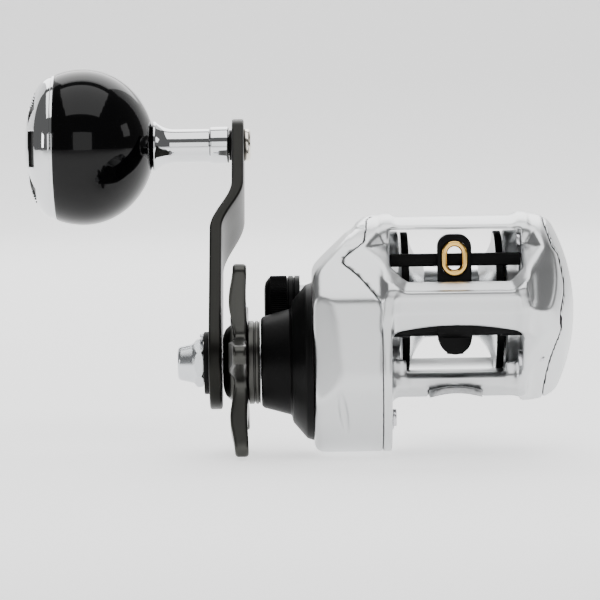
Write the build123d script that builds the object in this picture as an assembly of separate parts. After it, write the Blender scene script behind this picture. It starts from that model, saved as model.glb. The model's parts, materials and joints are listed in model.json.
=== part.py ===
from build123d import *
import math
import os

# Low-profile level-wind fishing reel, right-hand retrieve.  All sizes in millimetres.
# X runs along the spool axis towards the palm side, Y towards the rear, Z up.
# Shapes are drawn with the spool axis at Y = Z = 0, then lifted so that the origin lies on
# the underside of the foot, on its centre line, straight below the spool axis.

# ---- Clearances ----
running_gap = 0.04          # radial gap of a turning or sliding fit
seat_gap = 0.02             # gap of a seated or stacked piece
body_gap = 0.35             # gap between pieces that move past each other
thread_gap = 0.05           # radial gap of a threaded piece in its hole

# ---- Spool ----
foot_drop = 24.2            # spool axis above the foot's underside
spool_r = 20.5
spool_half = 14.6           # mid-plane to a flange's outer face
flange_rim = 2.1
arbor_r = 10.0
spool_shaft_r = 1.5
spool_bore_r = 2.25         # thick middle of the shaft, in the spool's hub
spool_hub = 7.0             # mid-plane to the hub's ends
clutch_pin_r = 0.45
pin_depth = 1.7             # from the gear-side wall's inner face out to the clutch pin

# ---- Gears ----
main_module = 0.4
drive_teeth = 99
pinion_teeth = 13
wind_module = 0.6
wind_teeth = 32
worm_teeth = 21
drive_y = -16.0             # drive axis in front of the spool axis
worm_y = -26.5              # worm axis in front of the spool axis
tooth_thinning = 0.14       # taken off each tooth's thickness, for backlash

# ---- Frame ----
gear_room = 3.6             # spool flange to the gear-side wall
palm_room = 4.6             # spool flange to the palm-side wall
wall = 2.4
skirt = 5.4                 # depth of the palm-side rim beyond its wall
shell = 1.6                 # thickness of covers
ring_r = 20.8               # rings beside the spool's flanges
ring_gap = 0.6              # from a ring to its flange
ring_depth = 3.2            # radial thickness of those rings
gear_case_depth = 19.9      # gear-side wall to the cover's outer face
palm_rise = 8.2             # crown of the palm-side cover above its seam
palm_dome_r = 52.0
palm_dome_place = (-7.0, -2.0)
hood_y = (-20.4, -9.0)      # bar over the front of the spool
hood_z = (21.3, 24.6)
nose_front = -38.0          # beam in front of the level wind
nose_inner = -33.4
nose_z = (-4.4, 7.7)
bar_y = (-24.5, -17.0)      # low bar under the front
bar_z = (-25.9, -19.0)
tray_rear = 13.0            # rear edge of the tray over the foot
brace_top = -11.5           # top of the web under the spool
slot_y = (21.5, 23.5)       # slot for the thumb bar's tongue
drum_r = 13.8               # brake drum, through the palm-side wall

# Side outlines are hulls around circles: (y, z, radius).
crown = (-8.0, 1.0, 24.5)
rear = (9.0, -2.0, 18.0)
nose = (-33.0, 1.0, 5.0)
gear_lobe = (-14.5, -17.5, 24.5)
palm_lobe = (-14.0, -13.0, 15.0)

# ---- Drive train, along X ----
shaft_r = 3.0
shaft_end_r = 2.0
sleeve_r = 4.9
sleeve_start = 6.2          # from the star's outer face
nut_dome = 4.8              # height of the nut's tapered dome
nut_hex = 2.5               # height of its hexagon
nut_lift = 1.8              # hexagon above the arm
nut_flats = 12.0
drag_nut_t = 2.4
retainer_r = 9.05
retainer_t = 1.5
arm_t = 3.6
arm_step = 7.2              # arm's outer face beyond the star's
star_step = 7.7             # star's outer face beyond the gear-case cap's
star_t = 3.9
star_tip_r = 29.0
star_hub_r = 11.5
star_arms = 5
star_lift = 9.0             # the forward arm's angle above level, in degrees
collar_r = 12.0
boss_height = 14.9          # gear-case cap beyond the gear-side cover
clutch_r = 8.0              # one-way clutch
clutch_length = 7.0
drive_bearing_r = 8.1
gear_face = 4.0
gear_inset = 10.1           # drive gear's outer face inside the gear-side cover's
disc_t = 0.8                # drag washers
drag_r = 11.0

# ---- Handle and knob ----
handle_length = 88.0
handle_lean = 45.7          # back from the vertical, in degrees
crank = 6.4                 # step of the arm towards the body
hub_end_r = 14.4
knob_end_r = 8.0
spindle_r = 2.5
knob_r = 23.7
neck_length = 24.0          # from the arm to the ball's flat
knob_flat = 21.1            # ball's widest plane to that flat
knob_inner_r = 21.7         # length of the ball's shorter, elliptical half
knob_seam = 8.3             # ball's widest plane to the end cap's seam
cap_height = 9.6
cap_plug_r = 17.9           # part of the end cap inside the ball
neck_r = 5.1
neck_plug_r = 6.0           # part of the neck inside the ball
knob_bearing_r = 4.2

# ---- Cast control ----
cast_r = 8.3
cast_length = 10.4
cast_gap = 3.5              # from the knob's inner rim to the gear-side cover
cast_ribs = 90
cast_tube_r = 6.4
outer_bearing_r = 4.2
palm_bearing_r = 4.0

# ---- Level wind ----
guard_r = 4.6
guard_bore = 3.4
worm_r = 3.0
worm_end_r = 1.6
worm_turns = 9
worm_bush_r = 3.2
wind_face = 1.6
wind_inset = 2.6            # level-wind gears' outer face outside the gear-side wall
carriage_half = 4.8
carriage_r = 5.65
carriage_y = (-30.2, -25.2)
carriage_top = 20.9
carriage_round = 3.6        # its rounded top corners
pawl_z = -8.7
pawl_r = 1.6
pawl_housing_r = 4.7
rail_y = (-24.7, -21.6)
rail_z = (11.6, 15.2)
ring_z = 14.1               # line ring's centre above the spool axis
line_ring = (7.7, 10.4)     # width and height
line_hole = (3.9, 6.8)

# ---- Foot ----
foot_half = 7.5
foot_t = 1.6
foot_front = -32.0
foot_rear = 28.0
rod_r = 22.0                # radius of the foot's hollow underside
foot_screw_r = 1.1
screw_pad_r = 1.9
foot_screw_places = [(x, y) for x in (-4.0, 4.0) for y in (-11.0, 9.0)]

# ---- Clutch ----
thumb_travel = 5.0
thumb_y = (21.3, 25.6)
thumb_z = (1.0, 6.0)
tongue_y = (21.8, 23.2)     # thumb bar's tongue
tongue_z = (3.0, 4.2)
yoke_inset = 2.1            # yoke's outer face outside the gear-side wall
yoke_t = 1.0
yoke_post_r = 0.9
yoke_posts = [(0.0, -10.5), (0.0, 10.5)]
stem_r = 0.6                # brake hub's stems
pinion_neck_r = 2.1         # in the yoke's groove and in the bearing
pinion_end_r = 2.7
pinion_collar = 0.6         # thin enough to stay beside the drive gear when the clutch opens
pinion_end_depth = 1.1      # pinion's end in the gear-side wall

# ---- Cover screws ----
screw_r = 1.1
screw_head_r = 2.4
screw_head_t = 1.1
boss_r = 2.4                # bosses that the screws go into
screw_inset = shell + boss_r - 0.4
screw_depth = 4.4           # shank beyond the wall

# ---- Worked-out places ----
gear_distance = main_module * (drive_teeth + pinion_teeth) / 2
wind_distance = wind_module * (wind_teeth + worm_teeth) / 2
drive_z = -math.sqrt(gear_distance ** 2 - drive_y ** 2)
worm_z = drive_z + math.sqrt(wind_distance ** 2 - (worm_y - drive_y) ** 2)
spool_axis = (0.0, 0.0)
drive_axis = (drive_y, drive_z)
worm_axis = (worm_y, worm_z)
gear_wall_in = -spool_half - gear_room
gear_wall_out = gear_wall_in - wall
palm_wall_in = spool_half + palm_room
palm_wall_out = palm_wall_in + wall
palm_seam = palm_wall_out + skirt
palm_x = palm_seam + palm_rise
gear_case_x = gear_wall_out - gear_case_depth
gear_x = gear_case_x + gear_inset
boss_x = gear_case_x - boss_height
star_x = boss_x - star_step
arm_outer_x = star_x - arm_step
nut_base_x = arm_outer_x - nut_lift
nut_hex_x = nut_base_x - nut_hex
nut_tip_x = nut_hex_x - nut_dome
arm_inner_x = arm_outer_x + arm_t
arm_top_outer = arm_outer_x + crank
arm_top_inner = arm_inner_x + crank
gear_profile = (crown, rear, nose, gear_lobe)
palm_profile = (crown, rear, nose, palm_lobe)
gear_in_x = gear_x + gear_face
knob_in_x = arm_top_outer - neck_length
knob_mid_x = knob_in_x - knob_flat
knob_seam_x = knob_mid_x - knob_seam
knob_out_x = knob_seam_x - cap_height
cast_in_x = gear_case_x - cast_gap
cast_out_x = cast_in_x - cast_length
spool_shaft_out = gear_case_x - 2.9
spool_shaft_in = palm_wall_out + 3.0
pin_x = gear_wall_in - pin_depth
brake_x = spool_half + 1.5
pinion_end_x = gear_wall_in - pinion_end_depth
yoke_x = gear_wall_out - yoke_inset
wind_x = gear_wall_out - wind_inset
drag_flats = 2 * sleeve_r + 0.2
x_disc = gear_x - disc_t
slot_z = (tongue_z[0] - thumb_travel - 0.8, tongue_z[1] + 0.6)
mesh_angle = math.degrees(math.atan2(-drive_z, -drive_y))
wind_angle = math.degrees(math.atan2(worm_z - drive_z, worm_y - drive_y))


def side_slab(sketch, x0, x1):
    """Extrude a side-view sketch (its x is Y, its y is Z) along X."""
    plane = Plane(origin=(x0, 0, 0), x_dir=(0, 1, 0), z_dir=(1, 0, 0))
    return extrude(plane * sketch, x1 - x0)


def front_slab(points, y0, y1):
    """Extrude a front-view outline of (x, z) points along Y."""
    plane = Plane(origin=(0, y1, 0), x_dir=(1, 0, 0), z_dir=(0, -1, 0))
    return extrude(plane * make_face(Polyline(*points, close=True)), y1 - y0)


def block(x0, x1, y0, y1, z0, z1):
    """A box between its corner values."""
    return Pos((x0 + x1) / 2, (y0 + y1) / 2, (z0 + z1) / 2) * Box(x1 - x0, y1 - y0, z1 - z0)


def disc(x0, x1, r, centre=spool_axis, bore=0.0):
    """A disc or ring along X about an axis at centre = (y, z)."""
    face = Circle(r) - Circle(bore) if bore else Circle(r)
    return side_slab(Pos(*centre) * face, x0, x1)


def turned(points, centre=spool_axis):
    """A turned piece: (x, radius) points revolved about an X-parallel axis."""
    outline = Polyline(*[(x, 0, r) for x, r in points], close=True)
    return Pos(0, *centre) * revolve(make_face(outline), Axis.X)


def hull_face(circles, inset=0.0):
    """Hull around circles, each drawn smaller by inset."""
    edges = [(Pos(y, z) * Circle(r - inset)).edge() for y, z, r in circles]
    return make_hull(edges)


def bearing(x0, x1, bore, r, centre):
    """A shielded ball bearing, drawn as one ring with a groove round each face."""
    ring = disc(x0, x1, r, centre, bore)
    mid, half, deep = (bore + r) / 2, (r - bore) / 5, (x1 - x0) * 0.12
    for a in (x0 - 1, x1 - deep):
        ring -= disc(a, a + 1 + deep, mid + half, centre, mid - half)
    return ring


def spur_gear(x0, x1, module, teeth, centre, phase, bore):
    """Involute spur gear with a tooth centred on the angle phase, in degrees."""
    pitch = module * teeth / 2
    base = pitch * math.cos(math.radians(20))
    root, tip = pitch - 1.1 * module, pitch + 0.7 * module
    half_tooth = (math.pi * module / 4 - tooth_thinning / 2) / pitch

    def involute(r):
        angle = math.acos(min(1.0, base / r))
        return math.tan(angle) - angle

    flank = [(r, half_tooth + involute(pitch) - involute(r)) for r in
             (root, max(root, base), (max(root, base) + pitch) / 2, (pitch + tip) / 2, tip)]
    if root >= base:
        flank = flank[1:]
    points = []
    for tooth in range(teeth):
        mid = math.radians(phase) + 2 * math.pi * tooth / teeth
        for r, a in flank:
            points.append((r * math.cos(mid - a), r * math.sin(mid - a)))
        for r, a in reversed(flank):
            points.append((r * math.cos(mid + a), r * math.sin(mid + a)))
    outline = make_face(Polyline(*points, close=True))
    return side_slab(Pos(*centre) * (outline - Circle(bore)), x0, x1)


def serrated(x0, x1, r, ribs, depth, centre, bore):
    """A ring with V ribs round its rim."""
    points = []
    for i in range(2 * ribs):
        a = math.pi * i / ribs
        radius = r if i % 2 == 0 else r - depth
        points.append((radius * math.cos(a), radius * math.sin(a)))
    outline = make_face(Polyline(*points, close=True))
    return side_slab(Pos(*centre) * (outline - Circle(bore)), x0, x1)


def hexagon(x0, x1, flats, centre, bore=0.0):
    """A hexagonal bar along X."""
    face = RegularPolygon(flats / math.sqrt(3), 6)
    return side_slab(Pos(*centre) * (face - Circle(bore) if bore else face), x0, x1)


def polar(centre, r, degrees):
    """The (y, z) point at a radius and angle about centre."""
    a = math.radians(degrees)
    return (centre[0] + r * math.cos(a), centre[1] + r * math.sin(a))


retainer_screw_place = polar(drive_axis, 7.6, 102)
gear_screws = [polar(gear_lobe[:2], gear_lobe[2] - screw_inset, 220),
               polar(gear_lobe[:2], gear_lobe[2] - screw_inset, 305),
               polar(rear[:2], rear[2] - screw_inset, -20)]
palm_screws = [polar(palm_lobe[:2], palm_lobe[2] - screw_inset, 190),
               polar(crown[:2], crown[2] - screw_inset, 124),
               polar(rear[:2], rear[2] - screw_inset, -20)]


# =============================== Frame and foot ===============================

def section_bar(points):
    """A bar of side section points, spanning wall to wall."""
    face = make_face(Polyline(*points, close=True))
    return side_slab(face, gear_wall_in - wall / 2, palm_wall_in + wall / 2)


def foot_plate(x_half, thick, gap=0.0):
    """The foot's curved plate, or the channel that it lies in."""
    top = rod_r + thick + gap
    front, back = foot_front - 2 * gap, foot_rear + 2 * gap
    plane = Plane(origin=(0, front, -foot_drop - rod_r), x_dir=(1, 0, 0), z_dir=(0, 1, 0))
    arch = extrude(plane * (Circle(top) - Circle(rod_r)), back - front)
    return arch & block(-x_half - gap, x_half + gap, front, back, -foot_drop - thick * 2, 0)


def make_frame():
    """Both walls, the bars between them and the rings beside the spool, in one casting."""
    body = side_slab(hull_face(gear_profile), gear_wall_out, gear_wall_in)
    body += side_slab(hull_face(palm_profile), palm_wall_in, palm_seam)
    body -= side_slab(hull_face(palm_profile, shell), palm_wall_out, palm_seam + 1)
    y0, y1 = hood_y
    z0, z1 = hood_z
    body += section_bar([(y1, z1), ((y0 + y1) / 2, z1 - 0.4), (y0 + 0.5, z1 - 2.0),
                         (y0, z0 + 0.3), (y0 + 1.0, z0 - 0.1), (y1, z0 + 0.1)])
    z0, z1 = nose_z
    body += section_bar([(nose_inner + 1.8, z1 + 0.3), (nose_front + 1.4, z1),
                         (nose_front, z1 - 1.9), (nose_front + 0.6, z1 - 8.7),
                         (nose_front + 2.8, z0), (nose_inner, z0), (nose_inner, z1 - 2.5),
                         (nose_inner + 1.8, z1 - 1.9)])
    y0, y1 = bar_y
    z0, z1 = bar_z
    body += section_bar([(y1, z1), (y0 + 1.5, z1), (y0, z1 - 1.2), (y0, z1 - 4.0),
                         (y0 + 2.5, z0), (y1, z0)])
    tray_z = -foot_drop + foot_t
    body += block(gear_wall_in - 1, palm_wall_in + 1, y1 - 0.5, tray_rear, tray_z, z1)
    brace = Circle(spool_r + 3.5) & Rectangle(60, 60, align=(Align.MIN, Align.MAX))
    brace = brace - Pos(0, brace_top) * Rectangle(60, -brace_top, align=(Align.MIN, Align.MIN))
    brace = brace - Rectangle(tray_rear - 0.5, 60, align=(Align.MIN, Align.MAX))
    body += side_slab(brace, gear_wall_in - 1, palm_wall_in + 1)
    body -= disc(gear_wall_in, palm_wall_in, spool_r + 0.5)
    for x0, x1 in ((gear_wall_in - 1, -spool_half - ring_gap),
                   (spool_half + ring_gap, palm_wall_in + 1)):
        body += disc(x0, x1, ring_r, spool_axis, ring_r - ring_depth)
    return body - frame_openings()


def frame_openings():
    """Everything bored or cut in the frame."""
    thick = wall + 2
    left, right = gear_wall_out - 1, palm_wall_in - 1
    cuts = disc(left, left + thick, pinion_end_r + 0.5)
    cuts += disc(left, left + thick, shaft_end_r + 2.0 + seat_gap, drive_axis)
    cuts += disc(left, left + thick, worm_bush_r + seat_gap, worm_axis)
    cuts += disc(right, right + thick, worm_bush_r + seat_gap, worm_axis)
    cuts += disc(right, right + thick, drum_r + seat_gap)
    cuts += block(left, left + thick, *slot_y, *slot_z)
    for y, z in gear_screws:
        cuts += disc(left, left + thick, screw_r + thread_gap, (y, z))
    for y, z in palm_screws:
        cuts += disc(right, right + thick, screw_r + thread_gap, (y, z))
    cuts += foot_plate(foot_half, foot_t, seat_gap)
    for x, y in foot_screw_places:
        cuts += Pos(x, y, -foot_drop + foot_t) * Cylinder(foot_screw_r + thread_gap, 4)
    return cuts


def make_foot():
    """The curved plate that lies in the rod's seat, with thinned ends and screw holes."""
    plate = foot_plate(foot_half, foot_t)
    low = -foot_drop - 3
    for end, turn in ((foot_front, 0), (foot_rear, 180)):
        corner = Pos(0, end, low) * Rot(0, 0, turn)
        for side in (-1, 1):
            trim = Box(6, 6, 12) - Pos(-side * 3, 3, 0) * Cylinder(3, 12)
            plate -= corner * Pos(side * foot_half, 0, 0) * trim
    for x, y in foot_screw_places:
        plate -= Pos(x, y, -foot_drop) * Cylinder(foot_screw_r + thread_gap, 6)
        plate -= Pos(x, y, -foot_drop - 0.2) * Cylinder(screw_pad_r + thread_gap, 2.0)
    return plate


def make_foot_screws():
    """Four screws from under the foot into the frame's tray."""
    screws = []
    for x, y in foot_screw_places:
        shank = Pos(x, y, -foot_drop + foot_t - 0.2) * Cylinder(foot_screw_r, 2.8)
        head = Pos(x, y, -foot_drop + 0.3) * Cylinder(screw_pad_r, 0.8)
        slot = Pos(x, y, -foot_drop - 0.1) * Box(2.6, 0.5, 0.8)
        screws.append(head + shank - slot)
    return Compound(screws)


# =============================== Covers ===============================

def gear_silhouette(inset=0.0):
    """Front outline of the gear-side cover; the shoulder slopes down to the outer face."""
    x0 = gear_case_x + inset
    x1 = gear_wall_out - seat_gap
    top = crown[1] + crown[2] - inset
    slope = inset * 0.45
    return [(x1, top + 1), (-26.0, top + 1), (-28.6, top - 4.4 - slope),
            (x0, 10.0 - slope), (x0, -39.4), (x0 + 3.0, -42.4 + inset), (x1, -42.4 + inset)]


def make_gear_cover():
    """Hollow side cover of the gear case, with bosses for the bearings and screws."""
    x1 = gear_wall_out - seat_gap
    outer = side_slab(hull_face(gear_profile), gear_case_x, x1)
    outer &= front_slab(gear_silhouette(), -50, 40)
    hollow = side_slab(hull_face(gear_profile, shell), gear_case_x + shell, x1 + 1)
    hollow &= front_slab(gear_silhouette(shell), -50, 40)
    cover = outer - hollow
    cover += disc(cast_in_x - 3.0, gear_case_x + 0.5, cast_tube_r)
    cover += disc(gear_case_x + 0.5, gear_case_x + 4.7, 5.4)
    cover += disc(gear_case_x - 4.4, gear_case_x + shell, 9.6, drive_axis)
    for y, z in gear_screws:
        boss = disc(x1 - screw_depth - 0.6, x1, boss_r, (y, z))
        cover += boss & side_slab(hull_face(gear_profile), -50, 0)
    for y, z in gear_screws:
        cover -= disc(x1 - screw_depth, x1 + 1, screw_r + thread_gap, (y, z))
    cover -= disc(gear_case_x - 0.9, gear_case_x + 8, 2.9)
    for x0, x1 in ((cast_out_x, gear_case_x - 0.8), (gear_case_x + 2.5, gear_case_x + 8)):
        cover -= disc(x0, x1, outer_bearing_r + seat_gap)
    cover -= disc(cast_out_x, gear_case_x + 4.5, drive_bearing_r + seat_gap, drive_axis)
    return cover


def make_cap():
    """Black cap of the gear case, which holds the one-way clutch."""
    x0, x1 = boss_x, gear_case_x - seat_gap
    outer = turned([(x0, 0), (x0, 12.5), (x0 + 0.6, 13.1), (x1 - 6.5, 15.2), (x1 - 5.7, 17.6),
                    (x1 - 1.9, 22.1), (x1, 22.8), (x1, 0)], drive_axis)
    hollow = turned([(x1 - 4.9, 0), (x1 - 4.9, 16.2), (x1 - 1.5, 20.3), (x1 + 1, 21.2),
                     (x1 + 1, 0)], drive_axis)
    cap = outer - (hollow - disc(x0 - 5, x1 + 5, cast_r + body_gap + shell))
    cap -= disc(x0 - 5, x1 + 5, cast_r + body_gap)
    cap -= disc(x0 + shell, x1 + 1, clutch_r + seat_gap, drive_axis)
    cap -= disc(x0 - 1, x1 + 1, sleeve_r + 0.6, drive_axis)
    return cap


def make_palm_cover():
    """Domed palm-side cover."""
    dome_x = palm_x - palm_dome_r
    x0 = palm_seam + seat_gap
    outer = side_slab(hull_face(palm_profile), x0, palm_x)
    outer &= Pos(dome_x, *palm_dome_place) * Sphere(palm_dome_r)
    hollow = side_slab(hull_face(palm_profile, shell), x0 - 1, palm_x)
    hollow &= Pos(dome_x, *palm_dome_place) * Sphere(palm_dome_r - shell)
    cover = outer - hollow
    inside = side_slab(hull_face(palm_profile, shell + seat_gap), palm_wall_out + seat_gap, x0)
    for y, z in palm_screws:
        cover += disc(palm_wall_out, palm_x, boss_r, (y, z)) & (outer + inside)
        cover -= disc(palm_wall_out - 1, palm_wall_out + screw_depth, screw_r + thread_gap, (y, z))
    return cover


def make_wall_screws(places, wall_in, side):
    """Cover screws driven from inside the frame; side is -1 or +1 along X."""
    screws = []
    for y, z in places:
        tip = wall_in + side * (wall + screw_depth - 0.5)
        head = wall_in - side * screw_head_t
        shank = disc(min(wall_in, tip), max(wall_in, tip), screw_r, (y, z))
        cap = disc(min(wall_in, head), max(wall_in, head), screw_head_r, (y, z))
        socket = hexagon(min(head, head + side * 0.7), max(head, head + side * 0.7), 2.0, (y, z))
        screws.append(cap + shank - socket)
    return Compound(screws)


# =============================== Spool ===============================

def make_spool():
    """Light spool: dished flanges, a thin arbor and a central web."""
    s, r, hub, bore = spool_half, spool_r, spool_hub, spool_bore_r
    rim, foot, dish, web = s - flange_rim, s - 7.2, s - 5.6, 2.6
    half = [Line((foot, arbor_r), (0, arbor_r)),
            ThreePointArc((foot, arbor_r), (s - 3.4, arbor_r + 3.9), (rim, r)),
            Line((rim, r), (s, r)), Line((s, r), (s, r - 1.2)),
            ThreePointArc((s, r - 1.2), (s - 1.8, arbor_r + 2.8), (dish, arbor_r - 1.6)),
            Line((dish, arbor_r - 1.6), (web, arbor_r - 1.8)),
            Line((web, arbor_r - 1.8), (web, 5.0)), Line((web, 5.0), (hub, 4.0)),
            Line((hub, 4.0), (hub, bore)), Line((hub, bore), (0, bore)),
            Line((0, bore), (0, arbor_r))]
    side = revolve(make_face(half), Axis.X)
    return side + mirror(side, Plane.YZ)


def make_spool_shaft():
    """Stepped shaft; the thick middle carries the spool."""
    a, b, r = spool_shaft_out, spool_shaft_in, spool_shaft_r
    thick, x0, x1 = spool_bore_r - seat_gap, -spool_half + 0.6, spool_half - 2.6
    shaft = turned([(a, 0), (a, r - 0.3), (a + 0.3, r), (x0, r), (x0, thick), (x1, thick),
                    (x1, r), (b - 0.3, r), (b, r - 0.3), (b, 0)])
    return shaft - Pos(pin_x, 0, 0) * Cylinder(clutch_pin_r + seat_gap, 8)


def make_pinion():
    """Sliding pinion: teeth, a groove for the yoke and a slot for the spool shaft's pin."""
    phase = mesh_angle + 180 + 180 / pinion_teeth
    bore = spool_shaft_r + running_gap
    groove = (yoke_x - 0.5, yoke_x + yoke_t + 0.2)
    collar_x = groove[0] - pinion_collar
    pinion = spur_gear(gear_x - 2.6, collar_x, main_module, pinion_teeth, spool_axis, phase, bore)
    pinion += disc(gear_case_x + 2.2, gear_x - 2.6, pinion_neck_r, spool_axis, bore)
    pinion += disc(collar_x, groove[0], pinion_end_r, spool_axis, bore)
    pinion += disc(*groove, pinion_neck_r, spool_axis, bore)
    pinion += disc(groove[1], pinion_end_x, pinion_end_r, spool_axis, bore)
    gap = 2 * (clutch_pin_r + running_gap)
    return pinion - block(pin_x - 0.7, pinion_end_x + 1, -gap / 2, gap / 2, -4, 4)


def make_yoke():
    """Plate that sits in the pinion's groove and slides on two posts."""
    plate = side_slab(Rectangle(5.0, 26.0), yoke_x, yoke_x + yoke_t)
    reach = pinion_neck_r + 2 * running_gap
    plate -= disc(yoke_x - 1, yoke_x + 2, reach)
    slot = Pos(3, 0) * Rectangle(6, 2 * reach)
    plate -= side_slab(slot, yoke_x - 1, yoke_x + 2)
    for y, z in yoke_posts:
        plate -= disc(yoke_x - 1, yoke_x + 2, yoke_post_r + running_gap, (y, z))
    return plate


def make_yoke_posts():
    """Two posts in the frame's gear-side wall."""
    return Compound([disc(gear_in_x + 0.4, gear_wall_out - seat_gap, yoke_post_r, c)
                     for c in yoke_posts])


# =============================== Drive train ===============================

def make_drive_shaft():
    """Stepped shaft: threaded outer end with two flats, and a thin inner journal."""
    s = shaft_r
    shaft = turned([(nut_hex_x - 2.2, 0), (nut_hex_x - 2.2, s - 0.4), (nut_hex_x - 1.8, s),
                    (gear_in_x + disc_t + 0.1, s), (gear_in_x + disc_t + 0.1, 5.2),
                    (gear_in_x + disc_t + 0.9, 5.2), (gear_in_x + disc_t + 0.9, s),
                    (gear_wall_out - 0.4, s), (gear_wall_out - 0.4, shaft_end_r),
                    (gear_wall_in - 0.4, shaft_end_r), (gear_wall_in - 0.4, 0)], drive_axis)
    for z0, z1 in ((-4, -2.4), (2.4, 4)):
        shaft -= Pos(0, *drive_axis) * block(nut_base_x, arm_inner_x, -4, 4, z0, z1)
    return shaft


def make_arm():
    """Cranked handle arm: its edge view times its plan, laid back from the vertical."""
    reach = handle_length + knob_end_r
    edge = Polyline((-hub_end_r, arm_outer_x), (44.5, arm_outer_x), (63.0, arm_top_outer),
                    (reach, arm_top_outer), (reach, arm_top_inner), (64.5, arm_top_inner),
                    (46.5, arm_inner_x), (-hub_end_r, arm_inner_x), close=True)
    side = make_face(edge)
    bends = [v for v in side.vertices() if 40 < v.X < 70]
    side = fillet(bends, 9.0)
    plane = Plane(origin=(0, -20, 0), x_dir=(0, 0, 1), z_dir=(0, 1, 0))
    strip = extrude(plane * side, 40)
    plan = hull_face([(0, 0, hub_end_r - 1.0), (handle_length, 0, knob_end_r)])
    upright = Plane(origin=(-90, 0, 0), x_dir=(0, 0, 1), z_dir=(1, 0, 0))
    arm = strip & extrude(upright * plan, 60)
    arm -= disc(-90, -40, spindle_r + seat_gap, (0, handle_length))
    bore = side_slab(Circle(shaft_r + seat_gap) & Rectangle(8, 4.8 + 2 * seat_gap), -90, -40)
    arm -= Rot(handle_lean, 0, 0) * bore
    return Pos(0, *drive_axis) * Rot(-handle_lean, 0, 0) * arm


def make_nut():
    """Blind handle nut: hexagon and tapered dome."""
    nut = hexagon(nut_hex_x, nut_base_x, nut_flats, drive_axis)
    nut += turned([(nut_tip_x, 0), (nut_tip_x, 3.4), (nut_tip_x + 1.0, 4.5),
                   (nut_hex_x, 5.6), (nut_hex_x, 0)], drive_axis)
    nut += disc(nut_base_x - 0.1, nut_base_x, nut_flats / 2, drive_axis)
    return nut - disc(nut_hex_x - 2.6, nut_base_x + 1, shaft_r + thread_gap, drive_axis)


def make_retainer():
    """Washer that keeps the nut from turning, held by a small screw."""
    x1 = arm_outer_x - seat_gap
    plate = disc(x1 - retainer_t, x1, retainer_r, drive_axis, shaft_r + thread_gap)
    return plate - disc(x1 - 3, x1 + 1, 0.8 + thread_gap, retainer_screw_place)


def make_retainer_screw():
    """The retainer's screw, with a cross slot."""
    x1 = arm_outer_x - seat_gap
    head = disc(x1 - retainer_t - 1.1, x1 - retainer_t - seat_gap, 1.2, retainer_screw_place)
    shank = disc(x1 - retainer_t - 0.5, x1 - 0.1, 0.8, retainer_screw_place)
    y, z = retainer_screw_place
    return head + shank - block(x1 - retainer_t - 2, x1 - retainer_t - 0.8, y - 2, y + 2,
                                z - 0.2, z + 0.2)


def make_star():
    """Five-armed drag star with its domed hub and inner collar."""
    outline = Circle(star_hub_r - 0.6)
    for i in range(star_arms):
        turn = Rot(0, 0, 180 - star_lift + 360 / star_arms * i)
        outline += turn * hull_face([(6.0, 0, 6.4), (star_tip_r - 2.9, 0, 2.9)])
    star = side_slab(Pos(*drive_axis) * outline, star_x, star_x + star_t)
    hub_x = arm_inner_x + body_gap
    star += turned([(hub_x, 0), (hub_x, 9.4), (hub_x + 1.2, star_hub_r), (star_x + 0.5, star_hub_r),
                    (star_x + 0.5, 0)], drive_axis)
    star += turned([(star_x + 2, 0), (star_x + 2, 10.8), (star_x + star_t + 0.3, 10.8),
                    (star_x + star_t + 0.3, collar_r), (boss_x - body_gap, collar_r),
                    (boss_x - body_gap, 0)], drive_axis)
    star -= disc(-80, -50, shaft_r + running_gap, drive_axis)
    star -= hexagon(star_x - 0.6, boss_x + 5, drag_flats + 4 * running_gap, drive_axis)
    return star


def make_drag_nut():
    """Hexagonal nut inside the star; it creeps along the shaft as the star turns."""
    return hexagon(star_x + 0.6, star_x + 0.6 + drag_nut_t, drag_flats, drive_axis,
                   shaft_r + running_gap)


def make_spring_washers():
    """Two coned washers, back to back, under the drag nut."""
    x = star_x + 3.9
    pair = []
    for x0, lean in ((x, 0.5), (x + 1.2, -0.5)):
        a, b = (x0, x0 + lean) if lean > 0 else (x0 - lean, x0)
        pair.append(turned([(a, shaft_r + 0.1), (b, 4.7), (b + 0.5, 4.7), (a + 0.5, shaft_r + 0.1)],
                           drive_axis))
    return Compound(pair)


def make_sleeve():
    """Inner tube of the one-way clutch, from the spring washers to the drag plate."""
    return disc(star_x + sleeve_start, gear_x - 2 * disc_t - 0.2, sleeve_r, drive_axis, shaft_r + seat_gap)


def make_roller_clutch():
    """One-way roller clutch: a shell with its rollers' windows drawn as flutes inside."""
    x0 = boss_x + shell + seat_gap
    x1 = x0 + clutch_length
    clutch = disc(x0, x1, clutch_r, drive_axis, sleeve_r + running_gap)
    for i in range(8):
        y, z = polar(drive_axis, sleeve_r + 0.9, 45 * i)
        clutch -= disc(x0 + 0.8, x1 - 0.8, 0.6, (y, z))
    return clutch


def make_drive_gear():
    """Main gear, with a recess for the drag washer and six lightening holes."""
    gear = spur_gear(gear_x, gear_in_x, main_module, drive_teeth, drive_axis,
                     mesh_angle, shaft_r + running_gap)
    for i in range(6):
        gear -= disc(gear_x - 1, gear_in_x + 1, 2.4, polar(drive_axis, 14.2, 60 * i + 15))
    return gear


def make_ratchet():
    """Toothed dog wheel keyed to the drive shaft."""
    x0 = gear_in_x + disc_t + 1.0
    return serrated(x0, x0 + 1.0, 9.0, 24, 1.2, drive_axis, shaft_r + seat_gap)


# =============================== Knob ===============================

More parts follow.
